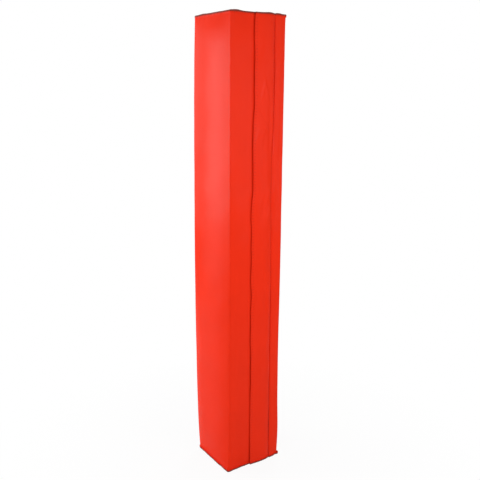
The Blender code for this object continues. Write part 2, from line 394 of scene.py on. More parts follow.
def shell(name: str, surface: Surface, thickness: float, finish: "Finish") -> bpy.types.Object:
    """Makes a closed sheet from its outer surface and its thickness.

    Args:
        name: Name of the piece.
        surface: Outer surface.
        thickness: Thickness of the sheet, inwards from the surface.
        finish: What it is made of.

    Returns:
        The sheet.
    """
    rows, columns = surface.points.shape[:2]
    count = rows * columns
    index = np.arange(count).reshape(rows, columns)
    inner = index + count
    rims = [
        np.stack([index[0, :-1], index[0, 1:], inner[0, 1:], inner[0, :-1]], axis=-1),
        np.stack([index[-1, 1:], index[-1, :-1], inner[-1, :-1], inner[-1, 1:]], axis=-1),
        np.stack([index[1:, 0], index[:-1, 0], inner[:-1, 0], inner[1:, 0]], axis=-1),
        np.stack([index[:-1, -1], index[1:, -1], inner[1:, -1], inner[:-1, -1]], axis=-1),
    ]
    faces = np.concatenate([quads(index), quads(inner)[:, ::-1], *rims])
    outer_points = surface.points.reshape(-1, 3)
    normals = surface.normals.reshape(-1, 3)
    points = np.concatenate([outer_points, outer_points - normals * thickness])
    mesh = bpy.data.meshes.new(name)
    mesh.from_pydata(points.tolist(), [], faces.tolist())
    flat = np.stack(np.broadcast_arrays(surface.along[None, :], surface.points[:, :, 2]), axis=-1)
    add_uv(mesh, np.tile(flat.reshape(-1, 2), (2, 1)), faces)
    corner_normals = np.concatenate([normals, -normals])[faces]
    rim_start = 2 * len(quads(index))
    edges = points[faces[rim_start:]]
    rim_normals = np.cross(edges[:, 2] - edges[:, 0], edges[:, 3] - edges[:, 1])
    rim_normals /= np.maximum(np.linalg.norm(rim_normals, axis=1, keepdims=True), 1e-12)
    corner_normals[rim_start:] = rim_normals[:, None, :]
    mesh.shade_smooth()
    mesh.normals_split_custom_set(corner_normals.reshape(-1, 3).tolist())
    return new_object(name, mesh, finish)


def add_uv(mesh: bpy.types.Mesh, flat: np.ndarray, faces: np.ndarray) -> None:
    """Gives a mesh a UV map in metres along and up the vinyl.

    Args:
        mesh: The mesh.
        flat: Place of each vertex on the flat vinyl.
        faces: Vertex numbers of each face, in the mesh's order.
    """
    layer = mesh.uv_layers.new(name="vinyl")
    layer.data.foreach_set("uv", flat[faces.reshape(-1)].astype(np.float32).ravel())


def rod(name: str, sections: np.ndarray, finish: "Finish", edge: tuple[float, ...] = ()) -> bpy.types.Object:
    """Makes a closed solid through equal closed sections.

    Args:
        name: Name of the piece.
        sections: Points, as sections by points round by three.
        finish: What it is made of.
        edge: Share of painted shade at each point round, from 0 to 1: 1 on the hem's folded edge.

    Returns:
        The solid.
    """
    count, around = sections.shape[:2]
    index = np.arange(count * around).reshape(count, around)
    wrapped = np.concatenate([index, index[:, :1]], axis=1)
    faces = quads(wrapped).tolist() + [index[0].tolist(), index[-1][::-1].tolist()]
    mesh = bpy.data.meshes.new(name)
    mesh.from_pydata(sections.reshape(-1, 3).tolist(), [], faces)
    tidy = bmesh.new()
    tidy.from_mesh(mesh)
    bmesh.ops.triangulate(tidy, faces=[face for face in tidy.faces if len(face.verts) > 4])
    bmesh.ops.recalc_face_normals(tidy, faces=tidy.faces)
    tidy.to_mesh(mesh)
    tidy.free()
    mesh.shade_smooth()
    mesh.set_sharp_from_angle(angle=SHARP_ANGLE)
    # The attribute carries the painted shade along a hem's folded edge.
    if edge:
        values = np.tile(edge, count).astype(np.float32)
        mesh.attributes.new(HEM_EDGE_SHADE, "FLOAT", "POINT").data.foreach_set("value", values)
    return new_object(name, mesh, finish)


@dataclass(frozen=True)
class Finish:
    """A material: its name, its colour and its roughness."""

    name: str
    colour: tuple[float, float, float]
    roughness: float

    def material(self) -> bpy.types.Material:
        """The material, made the first time that it is asked for.

        Returns:
            The material.
        """
        made = bpy.data.materials.get(self.name)
        if made is None:
            made = bpy.data.materials.new(self.name)
            made.use_nodes = True
            made.diffuse_color = (*self.colour, 1)
            self.dress(Nodes(made.node_tree))
        return made

    def dress(self, nodes: "Nodes") -> None:
        """Builds the nodes. Each kind of finish has its own."""
        raise NotImplementedError


class Nodes:
    """The nodes of one material, added and linked by name."""

    def __init__(self, tree: bpy.types.NodeTree) -> None:
        """Takes the tree over, with its shader and its output."""
        self.tree = tree
        self.shader = tree.nodes["Principled BSDF"]

    def add(self, kind: str, **inputs: object) -> bpy.types.Node:
        """Adds a node and fills its inputs.

        Args:
            kind: Type of the node, without the words ShaderNode.
            inputs: Values or sockets for the inputs, by the input's name in small letters.

        Returns:
            The node.
        """
        node = self.tree.nodes.new("ShaderNode" + kind)
        self.fill(node, **inputs)
        return node

    def fill(self, node: bpy.types.Node, **inputs: object) -> None:
        """Sets or links the inputs of a node.

        Args:
            node: The node.
            inputs: Values or sockets for the inputs, by the input's name in small letters.
        """
        sockets = {socket.name.lower().replace(" ", "_"): socket for socket in reversed(node.inputs)}
        for name, value in inputs.items():
            if isinstance(value, bpy.types.NodeSocket):
                self.tree.links.new(value, sockets[name])
            else:
                sockets[name].default_value = value

    def noise(self, place: bpy.types.NodeSocket, size: float, detail: float = 2.0) -> bpy.types.NodeSocket:
        """Noise whose lumps have a size in metres.

        Args:
            place: Coordinates.
            size: Size of a lump.
            detail: How much finer noise is laid over it.

        Returns:
            The noise, from 0 to 1.
        """
        return self.add("TexNoise", vector=place, scale=1 / size, detail=detail).outputs["Fac"]

    def scaled(self, value: bpy.types.NodeSocket, low: float, high: float) -> bpy.types.NodeSocket:
        """Maps 0 to 1 onto low to high."""
        return self.add("MapRange", value=value, to_min=low, to_max=high).outputs["Result"]

    def tinted(self, share: bpy.types.NodeSocket, first: tuple | bpy.types.NodeSocket,
               second: tuple | bpy.types.NodeSocket) -> bpy.types.NodeSocket:
        """Mixes two colours by a share.

        Args:
            share: Share of the second colour.
            first: First colour, or its socket.
            second: Second colour, or its socket.

        Returns:
            The mixed colour.
        """
        mix = self.tree.nodes.new("ShaderNodeMix")
        mix.data_type = "RGBA"
        self.tree.links.new(share, mix.inputs[MIX_FACTOR])
        for number, colour in ((MIX_FIRST, first), (MIX_SECOND, second)):
            if isinstance(colour, bpy.types.NodeSocket):
                self.tree.links.new(colour, mix.inputs[number])
            else:
                mix.inputs[number].default_value = (*colour, 1)
        return mix.outputs[MIX_RESULT]

    def product(self, first: bpy.types.NodeSocket, second: bpy.types.NodeSocket,
                clamp: bool = False) -> bpy.types.NodeSocket:
        """Multiplies two values.

        Args:
            first: First value.
            second: Second value.
            clamp: Whether the product is held between 0 and 1.

        Returns:
            The product.
        """
        node = self.add("Math")
        node.operation = "MULTIPLY"
        node.use_clamp = clamp
        self.tree.links.new(first, node.inputs[0])
        self.tree.links.new(second, node.inputs[1])
        return node.outputs[0]

    def raised(self, height: bpy.types.NodeSocket, depth: float, strength: float,
               under: bpy.types.NodeSocket | None = None) -> bpy.types.NodeSocket:
        """Bump from a height.

        Args:
            height: Height, from 0 to 1.
            depth: Depth of the relief, in metres.
            strength: How strongly it shows.
            under: Normal that this relief lies on.

        Returns:
            The new normal.
        """
        bump = self.add("Bump", height=height, distance=depth, strength=strength)
        if under is not None:
            self.tree.links.new(under, bump.inputs["Normal"])
        return bump.outputs["Normal"]

    def place(self, kind: str = "Object") -> bpy.types.NodeSocket:
        """Coordinates on the piece: Object, or UV."""
        return self.add("TexCoord").outputs[kind]


def shade(colour: tuple[float, float, float], factor: float) -> tuple[float, float, float]:
    """A colour made lighter or darker by a factor."""
    return tuple(channel * factor for channel in colour)


@dataclass(frozen=True)
class VinylFinish(Finish):
    """Coated vinyl cloth: a fine embossed grain over a base cloth that shows through faintly."""

    gloss: float = 0.04
    grain: float = 0.9 * MM
    cloth: float = 1.3 * MM

    def dress(self, nodes: Nodes) -> None:
        """Builds the grain, the base cloth, the mottling and the rubbed places."""
        place = nodes.place()
        mottle = nodes.noise(place, 0.16, 3)
        rubbed = nodes.noise(place, 0.035, 4)
        colour = nodes.tinted(mottle, shade(self.colour, 0.94), shade(self.colour, 1.06))
        rough = nodes.scaled(rubbed, self.roughness - 0.05, self.roughness + 0.06)
        cell = nodes.add("TexVoronoi", vector=place, scale=1 / self.grain).outputs["Distance"]
        relief = nodes.raised(cell, 0.10 * MM, 0.30)
        weave = nodes.add("TexWave", vector=nodes.place("UV"), scale=math.pi / 10 / self.cloth)
        relief = nodes.raised(weave.outputs["Fac"], 0.05 * MM, 0.10, relief)
        relief = nodes.raised(nodes.noise(place, 0.012, 2), 0.4 * MM, 0.12, relief)
        nodes.fill(nodes.shader, base_color=colour, roughness=rough, normal=relief)
        nodes.fill(nodes.shader, specular_ior_level=self.gloss)


@dataclass(frozen=True)
class HemFinish(VinylFinish):
    """The hems' vinyl, with painted shade along its folded edge."""

    # Colour of the painted shade along the hems' folded edges.
    painted_shade: tuple[float, float, float] = (0.20, 0.036, 0.024)

    def dress(self, nodes: Nodes) -> None:
        """Builds the vinyl and paints shade along its folded edge."""
        super().dress(nodes)
        unshaded = nodes.shader.inputs["Base Color"].links[0].from_socket
        # Painted shade in patches along the folded edge, where the edge attribute is 1.
        edge = nodes.add("Attribute")
        edge.attribute_name = HEM_EDGE_SHADE
        patchy = nodes.scaled(nodes.noise(nodes.place(), 0.03, 3), 0.7, 1.3)
        share = nodes.product(edge.outputs["Fac"], patchy, clamp=True)
        nodes.fill(nodes.shader, base_color=nodes.tinted(share, unshaded, self.painted_shade))


@dataclass(frozen=True)
class LiningFinish(Finish):
    """The cloth side of the vinyl: a plain weave, matt."""

    thread: float = 0.8 * MM

    def dress(self, nodes: Nodes) -> None:
        """Builds the weave and its uneven dye."""
        place = nodes.place("UV")
        pitch = math.pi / 10 / self.thread
        warp = nodes.add("TexWave", vector=place, scale=pitch, distortion=0.6)
        weft = nodes.add("TexWave", vector=place, scale=pitch, distortion=0.6)
        weft.bands_direction = "Y"
        both = nodes.product(warp.outputs["Fac"], weft.outputs["Fac"])
        colour = nodes.tinted(both, shade(self.colour, 0.72), shade(self.colour, 1.12))
        relief = nodes.raised(both, 0.2 * MM, 0.5)
        nodes.fill(nodes.shader, base_color=colour, roughness=self.roughness, normal=relief)
        nodes.fill(nodes.shader, specular_ior_level=0.25)


@dataclass(frozen=True)
class FoamFinish(Finish):
    """Open-celled pad foam."""

    cell: float = 1.2 * MM

    def dress(self, nodes: Nodes) -> None:
        """Builds the cells."""
        place = nodes.place()
        cells = nodes.add("TexVoronoi", vector=place, scale=1 / self.cell).outputs["Distance"]
        colour = nodes.tinted(cells, shade(self.colour, 0.8), self.colour)
        relief = nodes.raised(cells, 0.5 * MM, 0.6)
        nodes.fill(nodes.shader, base_color=colour, roughness=self.roughness, normal=relief)


@dataclass(frozen=True)
class TapeFinish(Finish):
    """Hook and loop tape: a low pile on a woven band."""

    pile: float = 1.6 * MM

    def dress(self, nodes: Nodes) -> None:
        """Builds the rows of the pile."""
        place = nodes.place()
        tufts = nodes.add("TexVoronoi", vector=place, scale=1 / self.pile).outputs["Distance"]
        fuzz = nodes.noise(place, 0.5 * MM, 2)
        colour = nodes.tinted(tufts, shade(self.colour, 2.2), self.colour)
        relief = nodes.raised(fuzz, 0.3 * MM, 0.5, nodes.raised(tufts, 0.8 * MM, 0.8))
        nodes.fill(nodes.shader, base_color=colour, roughness=self.roughness, normal=relief)
        nodes.fill(nodes.shader, sheen_weight=0.4, sheen_roughness=0.5)


@dataclass(frozen=True)
class ThreadFinish(Finish):
    """Twisted sewing thread."""

    lay: float = 0.7 * MM

    def dress(self, nodes: Nodes) -> None:
        """Builds the twist."""
        place = nodes.place()
        twist = nodes.noise(place, self.lay, 2)
        colour = nodes.tinted(twist, shade(self.colour, 0.7), shade(self.colour, 1.3))
        relief = nodes.raised(twist, 0.15 * MM, 0.6)
        nodes.fill(nodes.shader, base_color=colour, roughness=self.roughness, normal=relief)
        nodes.fill(nodes.shader, specular_ior_level=0.1)


RED = (0.80, 0.028, 0.0075)
OUTER_VINYL = VinylFinish("coated_red_vinyl", RED, 0.22)
HEM_VINYL = HemFinish("coated_hem_vinyl", (0.74, 0.023, 0.005), 0.30)
LINING = LiningFinish("woven_lining_cloth", (0.52, 0.020, 0.010), 0.75)
FOAM = FoamFinish("open_cell_foam", (0.82, 0.80, 0.74), 0.95)
TAPE = TapeFinish("hook_and_loop_pile", (0.018, 0.018, 0.020), 0.9)
THREAD = ThreadFinish("dark_red_thread", (0.34, 0.012, 0.005), 0.7)


@dataclass(frozen=True)
class ClothRun:
    """How a vinyl face settles: held along its seams and blown out by the foam behind it."""

    frames: int = 20
    pressure: float = 4.0
    quality: int = 5
    mass: float = 0.4
    stiffness: float = 25.0
    bending: float = 4.0
    limit: float = 3.5 * MM

    def settle(self, start: np.ndarray, cut: np.ndarray, held: np.ndarray) -> np.ndarray:
        """Lets a sheet settle.

        Args:
            start: Points at the start, as rows by columns by three.
            cut: Points of the sheet as it was cut, which gives its threads their length.
            held: True where the sheet is sewn down.

        Returns:
            How far each point moved, no further than the limit.
        """
        rows, columns = held.shape
        mesh = bpy.data.meshes.new("settling")
        faces = quads(np.arange(rows * columns).reshape(rows, columns))
        mesh.from_pydata(start.reshape(-1, 3).tolist(), [], faces.tolist())
        piece = bpy.data.objects.new("settling", mesh)
        scene = bpy.context.scene
        scene.collection.objects.link(piece)
        piece.shape_key_add(name="sewn")
        cut_key = piece.shape_key_add(name="cut")
        cut_key.data.foreach_set("co", cut.astype(np.float32).ravel())
        group = piece.vertex_groups.new(name="held")
        group.add(np.flatnonzero(held.ravel()).tolist(), 1.0, "REPLACE")
        cloth = piece.modifiers.new("cloth", "CLOTH")
        self.set_up(cloth, cut_key)
        for number in range(1, self.frames + 1):
            scene.frame_set(number)
        settled = piece.evaluated_get(bpy.context.evaluated_depsgraph_get()).to_mesh()
        points = np.empty(rows * columns * 3, np.float32)
        settled.vertices.foreach_get("co", points)
        scene.frame_set(1)
        bpy.data.objects.remove(piece)
        bpy.data.meshes.remove(mesh)
        moved = points.reshape(rows, columns, 3).astype(float) - start
        distance = np.linalg.norm(moved, axis=2, keepdims=True)
        return moved * self.limit * np.tanh(distance / self.limit) / np.maximum(distance, 1e-9)

    def set_up(self, cloth: bpy.types.ClothModifier, cut_key: bpy.types.ShapeKey) -> None:
        """Gives the cloth the vinyl's stiffness.

        Args:
            cloth: The modifier.
            cut_key: Shape of the sheet as it was cut.
        """
        settings = cloth.settings
        settings.quality = self.quality
        settings.mass = self.mass
        settings.tension_stiffness = self.stiffness
        settings.compression_stiffness = self.stiffness
        settings.shear_stiffness = self.stiffness / 2
        settings.bending_stiffness = self.bending
        settings.use_pressure = True
        settings.uniform_pressure_force = self.pressure
        settings.vertex_group_mass = "held"
        settings.rest_shape_key = cut_key
        settings.effector_weights.gravity = 0
        cloth.collision_settings.use_collision = False
        cloth.point_cache.frame_start = 1
        cloth.point_cache.frame_end = self.frames


@dataclass(frozen=True)
class CornerShape:
    """A corner of the pad: its radius, and how far it is drawn in from the two planes, by height."""

    radius: Profile
    draw_x: Profile = Profile.steady(0)
    draw_y: Profile = Profile.steady(0)


@dataclass(frozen=True)
class FlapForm:
    """The shape of the closure flap: where its edge runs and how deep it lies, by height."""

    edge: float = 102.5 * MM
    slant: float = 6.5 * MM
    slant_from: float = 0.95
    waver: Ripple = Ripple(0.17, 0.9 * MM, 11, 4)
    jogs: Profile = Profile(((0, 0.5 * MM), (0.127, -1 * MM), (0.235, -1.5 * MM), (0.37, 1.5 * MM),
                             (0.472, 0), (0.643, -2.5 * MM), (0.729, -0.5 * MM), (0.833, -3.5 * MM),
                             (1.0, -2.5 * MM), (1.14, -3 * MM), (1.168, 1 * MM), (1.212, 1.5 * MM),
                             (1.288, -1.5 * MM), (1.38, -2.5 * MM), (1.44, -0.5 * MM), (1.482, 3.5 * MM),
                             (1.515, 3 * MM), (1.56, 0.5 * MM), (1.62, 0.5 * MM), (1.675, 2.5 * MM),
                             (1.73, -1.5 * MM), (SIZES.cap_top, 0)))
    edge_share: float = 0.45
    crown: Profile = Profile(((0, 7.4 * MM), (0.12, 8 * MM), (1.6, 8 * MM), (SIZES.cap_top, 5.5 * MM)))
    root: Profile = Profile(((0, 204.5 * MM), (0.12, 203.5 * MM), (0.35, 203 * MM), (0.6, 202 * MM),
                             (0.8, 202.5 * MM), (0.98, 200.5 * MM), (1.13, 198 * MM), (1.25, 197.3 * MM),
                             (1.36, 200.5 * MM), (1.5, 204 * MM), (1.66, 203 * MM),
                             (SIZES.cap_top, 201.5 * MM)))
    groove: Profile = Profile(((0, 0.3 * MM), (0.012, 0.5 * MM), (0.035, 3.0 * MM), (0.3, 4.0 * MM),
                               (0.7, 3.8 * MM), (0.9, 1.8 * MM), (1.05, 0.9 * MM), (1.3, 1.0 * MM),
                               (1.46, 3.0 * MM), (1.785, 3.6 * MM), (1.807, 3.0 * MM),
                               (SIZES.cap_top, 1.0 * MM)))
    gap: Profile = Profile(((0, 0.8 * MM), (0.012, 0.8 * MM), (0.035, 3 * MM), (0.3, 3.6 * MM),
                            (0.7, 3.2 * MM), (0.9, 1.6 * MM), (1.05, 1.1 * MM), (1.3, 1.2 * MM),
                            (1.46, 2.8 * MM), (1.785, 3.2 * MM), (1.807, 2.6 * MM),
                            (SIZES.cap_top, 1.2 * MM)))
    wall_margin: float = 0.5 * MM
    deepest_wall: float = 6.2 * MM
    edge_fade: float = 0.08
    root_fade: float = 0.05
    groove_width: float = 4 * MM
    tuck_share: float = 0.5
    tuck_width: float = 1.6 * MM
    edge_lift: float = 1.8 * MM
    lift_width: float = 18 * MM
    stack: float = 6.4 * MM

    def edge_at(self, z: np.ndarray) -> np.ndarray:
        """Where the free edge runs along the front face at some heights."""
        rise = np.maximum(0, z - self.slant_from) / (SIZES.height - self.slant_from)
        return self.edge + self.slant * rise + self.waver.at(z) + self.jogs.at(z)

    def share(self, s: np.ndarray, z: np.ndarray) -> np.ndarray:
        """Place across the flap, 0 at its free edge and 1 at its root."""
        edge = self.edge_at(z)
        return np.clip((s - edge) / (self.root.at(z) - edge), 0, 1)

    def crowned(self, s: np.ndarray, z: np.ndarray) -> np.ndarray:
        """Depth of the flap's outer side without its lifted edge and its groove."""
        across = 2 * self.share(s, z) - 1
        fall = np.where(across < 0, (1 - self.edge_share) * np.abs(across) ** 2.2, np.abs(across) ** 3)
        return -self.crown.at(z) * (1 - fall)

    def depth(self, s: np.ndarray, z: np.ndarray) -> np.ndarray:
        """Depth of the flap's outer side."""
        lifted = np.clip(1 - (s - self.edge_at(z)) / self.lift_width, 0, 1) ** 2
        from_root = self.root.at(z) - s
        grooved = np.clip(1 - from_root / self.groove_width, 0, 1) ** 2
        grooved += self.tuck_share * np.clip(1 - from_root / self.tuck_width, 0, 1) ** 2
        return self.crowned(s, z) - self.edge_lift * lifted + self.groove.at(z) * grooved

    def relief(self, s: np.ndarray, z: np.ndarray) -> np.ndarray:
        """How far the waves and dents that all the layers here follow stand out."""
        share = self.share(s, z)
        shown = eased(share / self.edge_fade) * eased((1 - share) / self.root_fade)
        return SOFT_WAVES.at(s, z) + creased(DENTS, s, z) * shown

    def wall(self, z: np.ndarray) -> np.ndarray:
        """Depth that the strip's wall reaches beside the root: just under the flap."""
        return np.minimum((1 + self.tuck_share) * self.groove.at(z) + self.wall_margin, self.deepest_wall)

    def seat(self, s: np.ndarray, z: np.ndarray) -> np.ndarray:
        """Depth of the panel's face, which sinks towards the flap and then lies under it."""
        edge = self.edge_at(z)
        beside_edge = self.stack - self.edge_share * self.crown.at(z)
        sinking = beside_edge * (1 - (1 - np.clip(s / edge, 0, 1)) ** 3)
        return np.where(s < edge, sinking, self.crowned(s, z) + self.stack)


@dataclass
class OuterVinyl:
    """The outer vinyl as one surface, from the front panel's closing end to the strip's inner edge."""

    flap: FlapForm = field(default_factory=FlapForm)
    seam_lap: float = 6 * MM
    web_lap: float = 18 * MM
    corner_zone: float = 27 * MM
    crown: float = 5 * MM
    end_fullness: float = 0.3
    end_zone: float = 0.12
    strip_crown: float = 1.2 * MM
    fine: float = 1.5 * MM
    coarse: float = 5 * MM
    row_fine: float = 3 * MM
    row_coarse: float = 7.5 * MM
    row_zone: float = 60 * MM
    gather: Ripple = Ripple(0.030, 0.45 * MM, 5, 6)
    gather_depth: float = 26 * MM
    cloth: ClothRun = field(default_factory=ClothRun)
    cloth_step: float = 8 * MM
    cut_excess: float = 0.004
    calm_zone: float = 48 * MM
    calm_share: float = 0.2
    least_reach: float = 0.4 * MM
    corner_reach: float = 50 * MM
    surface: Surface = field(init=False)
    marks: dict = field(init=False)

    def web_columns(self) -> int:
        """How many columns a fold web has on each side of its corner."""
        return round(self.web_lap / self.fine)

    def rows_near(self, z: np.ndarray) -> np.ndarray:
        """The rows that lie nearest to some heights, each once."""
        heights = self.surface.points[:, 0, 2]
        return np.unique(np.abs(heights[None, :] - z[:, None]).argmin(axis=1))

    def corner_shapes(self) -> dict[Turn, CornerShape]:
        """The shape of each corner, from the photograph where it shows and plain elsewhere.

        Returns:
            The shapes, by corner.
        """
        top = SIZES.cap_top
        plain = Profile.steady(3 * MM)
        return {
            Turn.FRONT_LAP: CornerShape(Profile.steady(1 * MM)),
            Turn.FRONT_END_INNER: CornerShape(plain),
            Turn.FRONT_END_OUTER: CornerShape(Profile.steady(9 * MM)),
            Turn.FRONT_LEFT: CornerShape(
                Profile(((0, 8 * MM), (0.1, 15 * MM), (0.37, 22 * MM), (0.75, 17 * MM),
                         (1.07, 10 * MM), (1.4, 6 * MM), (top, 4.5 * MM))),
                draw_x=Profile(((0, -4.5 * MM), (0.12, -2 * MM), (0.4, 0), (top, 0))),
            ),
            Turn.BACK_LEFT: CornerShape(
                Profile(((0, 6 * MM), (0.2, 4.5 * MM), (top, 4 * MM))),
                draw_x=Profile(((0, 2.8 * MM), (0.12, 0.5 * MM), (1.7, 0), (top, 1 * MM))),
                draw_y=Profile(((0, 16 * MM), (0.09, 9 * MM), (0.2, 5.5 * MM), (0.48, 2 * MM),
                                (0.75, -1 * MM), (1.2, -2.5 * MM), (1.6, -2.5 * MM), (top, 3 * MM))),
            ),
            Turn.BACK_RIGHT: CornerShape(
                Profile(((0, 7 * MM), (0.2, 5 * MM), (top, 4 * MM))),
                draw_x=Profile(((0, 6 * MM), (0.1, 1.5 * MM), (0.4, 0), (top, 1 * MM))),
                draw_y=Profile(((0, 7 * MM), (0.1, 2 * MM), (0.4, 0), (top, 1 * MM))),
            ),
            Turn.FRONT_RIGHT: CornerShape(
                Profile(((0, 4 * MM), (0.2, 6 * MM), (1.6, 6 * MM), (top, 4 * MM))),
                draw_x=Profile(((0, 1 * MM), (0.065, -1 * MM), (0.24, 2 * MM), (0.51, 4 * MM),
                                (0.77, 1 * MM), (1.2, 0), (top, 0))),
                draw_y=Profile(((0, 5 * MM), (0.1, 1 * MM), (0.3, 0), (top, 1.5 * MM))),
            ),
            Turn.STRIP_EDGE: CornerShape(
                Profile(((0, 1.5 * MM), (0.04, 2.4 * MM), (0.7, 2.4 * MM), (1.05, 1.8 * MM), (1.3, 1.8 * MM),
                         (1.5, 2.4 * MM), (top, 1.5 * MM))),
                draw_y=Profile(((0, -2.5 * MM), (0.1, -1 * MM), (0.3, 0), (top, 0.5 * MM))),
            ),
            Turn.STRIP_LAP: CornerShape(Profile.steady(1 * MM)),
        }

    def build(self) -> None:
        """Works out the whole surface and where its corners lie."""
        z = graded(SIZES.cap_top, self.row_fine, self.row_coarse, self.row_zone)
        corners = self.corner_places(z)
        lengths = np.linalg.norm(np.diff(corners.mean(axis=1), axis=0), axis=1)
        steps = [graded(length, self.fine, self.coarse, self.corner_zone) for length in lengths]
        starts = np.concatenate([[0], np.cumsum(lengths)])
        along = [starts[0] + steps[0]]
        lines = [self.side(0, steps[0] / lengths[0], corners, z)]
        counts = [0, len(steps[0]) - 1]
        for number in range(1, len(steps)):
            along.append(starts[number] + steps[number][1:])
            lines.append(self.side(number, steps[number][1:] / lengths[number], corners, z))
            counts.append(counts[-1] + len(steps[number]) - 1)
        self.marks = {turn: counts[turn.value] for turn in Turn}
        along = np.concatenate(along)
        plan = self.round_corners(np.concatenate(lines, axis=1), along, z)
        points = np.dstack([plan, np.broadcast_to(z[:, None], plan.shape[:2])])
        smooth = Surface.through(points, along)
        raised = self.gathers(along, z) + self.relief(along, z)
        self.surface = Surface.through(points + smooth.normals * raised[:, :, None], along)

    def corner_places(self, z: np.ndarray) -> np.ndarray:
        """Sharp corners of the vinyl at some heights.

        Args:
            z: Heights.

        Returns:
            Places in plan, as corners by heights by two.
        """
        x, y, deep = SIZES.half_x, SIZES.half_y, SIZES.thickness
        front_end = -x + SIZES.front_length
        seat = self.flap.seat(np.full_like(z, SIZES.front_length), z)
        level = np.zeros_like(z)
        shapes = self.corner_shapes()

        def drawn(turn: Turn, side_x: float, side_y: float) -> np.ndarray:
            shape = shapes[turn]
            return np.stack([side_x * (x - shape.draw_x.at(z)), side_y * (y - shape.draw_y.at(z))], axis=1)

        root = self.flap.root.at(z)
        strip = np.stack([root + self.flap.gap.at(z) - x, -y + shapes[Turn.STRIP_EDGE].draw_y.at(z)], axis=1)
        lap = np.stack([root - x, strip[:, 1] + self.flap.wall(z)], axis=1)
        return np.array([
            np.stack([front_end - self.seam_lap + level, deep - y + level], axis=1),
            np.stack([front_end + level, deep - y + level], axis=1),
            np.stack([front_end + level, seat - y], axis=1),
            drawn(Turn.FRONT_LEFT, -1, -1),
            drawn(Turn.BACK_LEFT, -1, 1),
            drawn(Turn.BACK_RIGHT, 1, 1),
            drawn(Turn.FRONT_RIGHT, 1, -1),
            strip,
            lap,
        ])

    def fullness(self, z: np.ndarray) -> np.ndarray:
        """Share of the crown that is left at some heights: all of it between the ends."""
        foot = np.clip(1 - z / self.end_zone, 0, 1) ** 2
        head = np.clip(1 - (SIZES.cap_top - z) / self.end_zone, 0, 1) ** 2
        return 1 - (1 - self.end_fullness) * np.maximum(foot, head)

    def side(self, number: int, share: np.ndarray, corners: np.ndarray, z: np.ndarray) -> np.ndarray:
        """One side of the vinyl between two sharp corners.

        Args:
            number: Number of the corner that it starts from.
            share: Places along it, from 0 to 1.
            corners: Sharp corners.
            z: Heights.

        Returns:
            Points in plan, as heights by places by two.
        """
        first, last = corners[number][:, None, :], corners[number + 1][:, None, :]
        line = first + (last - first) * share[None, :, None]
        run = corners[number + 1] - corners[number]
        run /= np.linalg.norm(run, axis=1, keepdims=True)
        outward = np.stack([-run[:, 1], run[:, 0]], axis=1)[:, None, :]
        if number == Turn.FRONT_END_OUTER.value:
            s = line[:, :, 0] + SIZES.half_x
            depth = self.flap.seat(s, z[:, None])
            line[:, :, 1] = -SIZES.half_y + depth
            return line
        crown = 4 * share * (1 - share)
        if number in (Turn.FRONT_LEFT.value, Turn.BACK_LEFT.value, Turn.BACK_RIGHT.value):
            rise = self.crown * self.fullness(z)
        elif number == Turn.FRONT_RIGHT.value:
            rise = np.full_like(z, self.strip_crown)
        else:
            rise = np.zeros_like(z)
        return line + outward * (rise[:, None] * crown[None, :])[:, :, None]

    def round_corners(self, plan: np.ndarray, along: np.ndarray, z: np.ndarray) -> np.ndarray:
        """Rounds every corner to its radius.

        Args:
            plan: Points in plan, as heights by places by two.
            along: Distance of each place along the vinyl.
            z: Heights.

        Returns:
            The rounded points.
        """
        reach = np.full((len(z), len(along)), self.least_reach)
        for turn, shape in self.corner_shapes().items():
            near = np.clip(1 - ((along - along[self.marks[turn]]) / self.corner_reach) ** 2, 0, 1) ** 2
            reach = np.maximum(reach, REACH_PER_RADIUS * shape.radius.at(z)[:, None] * near[None, :])
        return np.array([rounded(plan[row], along, reach[row]) for row in range(len(z))])

    def gathers(self, along: np.ndarray, z: np.ndarray) -> np.ndarray:
        """How far the vinyl ripples where its ends are gathered into the hems.

        Args:
            along: Places along the vinyl.
            z: Heights.

        Returns:
            The distance outwards, as heights by places.
        """
        near_end = np.minimum(z, SIZES.cap_top - z)
        fading = np.exp(-((near_end / self.gather_depth) ** 2))
        return fading[:, None] * self.gather.at(along)[None, :]

    def relief(self, along: np.ndarray, z: np.ndarray) -> np.ndarray:
        """How far the vinyl's waves and creases stand out.

        Args:
            along: Places along the vinyl.
            z: Heights.

        Returns:
            The distance outwards, as heights by places.
        """
        ends = along[self.marks[Turn.FRONT_END_OUTER]], along[self.marks[Turn.STRIP_EDGE]]
        shown = eased((along - ends[0]) / (6 * MM)) * eased((ends[1] - along) / (6 * MM))
        s, up = (along[self.marks[Turn.FRONT_LEFT]] - along)[None, :], z[:, None]
        strip_s = self.flap.root.at(up) + (ends[1] - along)[None, :]  # place along the front, on the strip
        bare = eased((s - 6 * MM) / (20 * MM)) * eased((self.flap.edge_at(up) - s) / (8 * MM))
        strip = eased((2 * SIZES.half_x - 8 * MM - strip_s) / (10 * MM))
        raised = self.flap.relief(s, up) * self.away_from_corners(along)
        raised = raised + creased(FRONT_CREASES, s, up) * bare
        return (raised + creased(STRIP_CREASES, strip_s, up) * strip) * shown[None, :]

    def away_from_corners(self, along: np.ndarray) -> np.ndarray:
        """Share of the waves that is left beside the corners, which stay straight."""
        corners = (Turn.FRONT_LEFT, Turn.BACK_LEFT, Turn.BACK_RIGHT, Turn.FRONT_RIGHT)
        nearest = np.min([np.abs(along - along[self.marks[turn]]) for turn in corners], axis=0)
        return self.calm_share + (1 - self.calm_share) * eased(nearest / self.calm_zone)

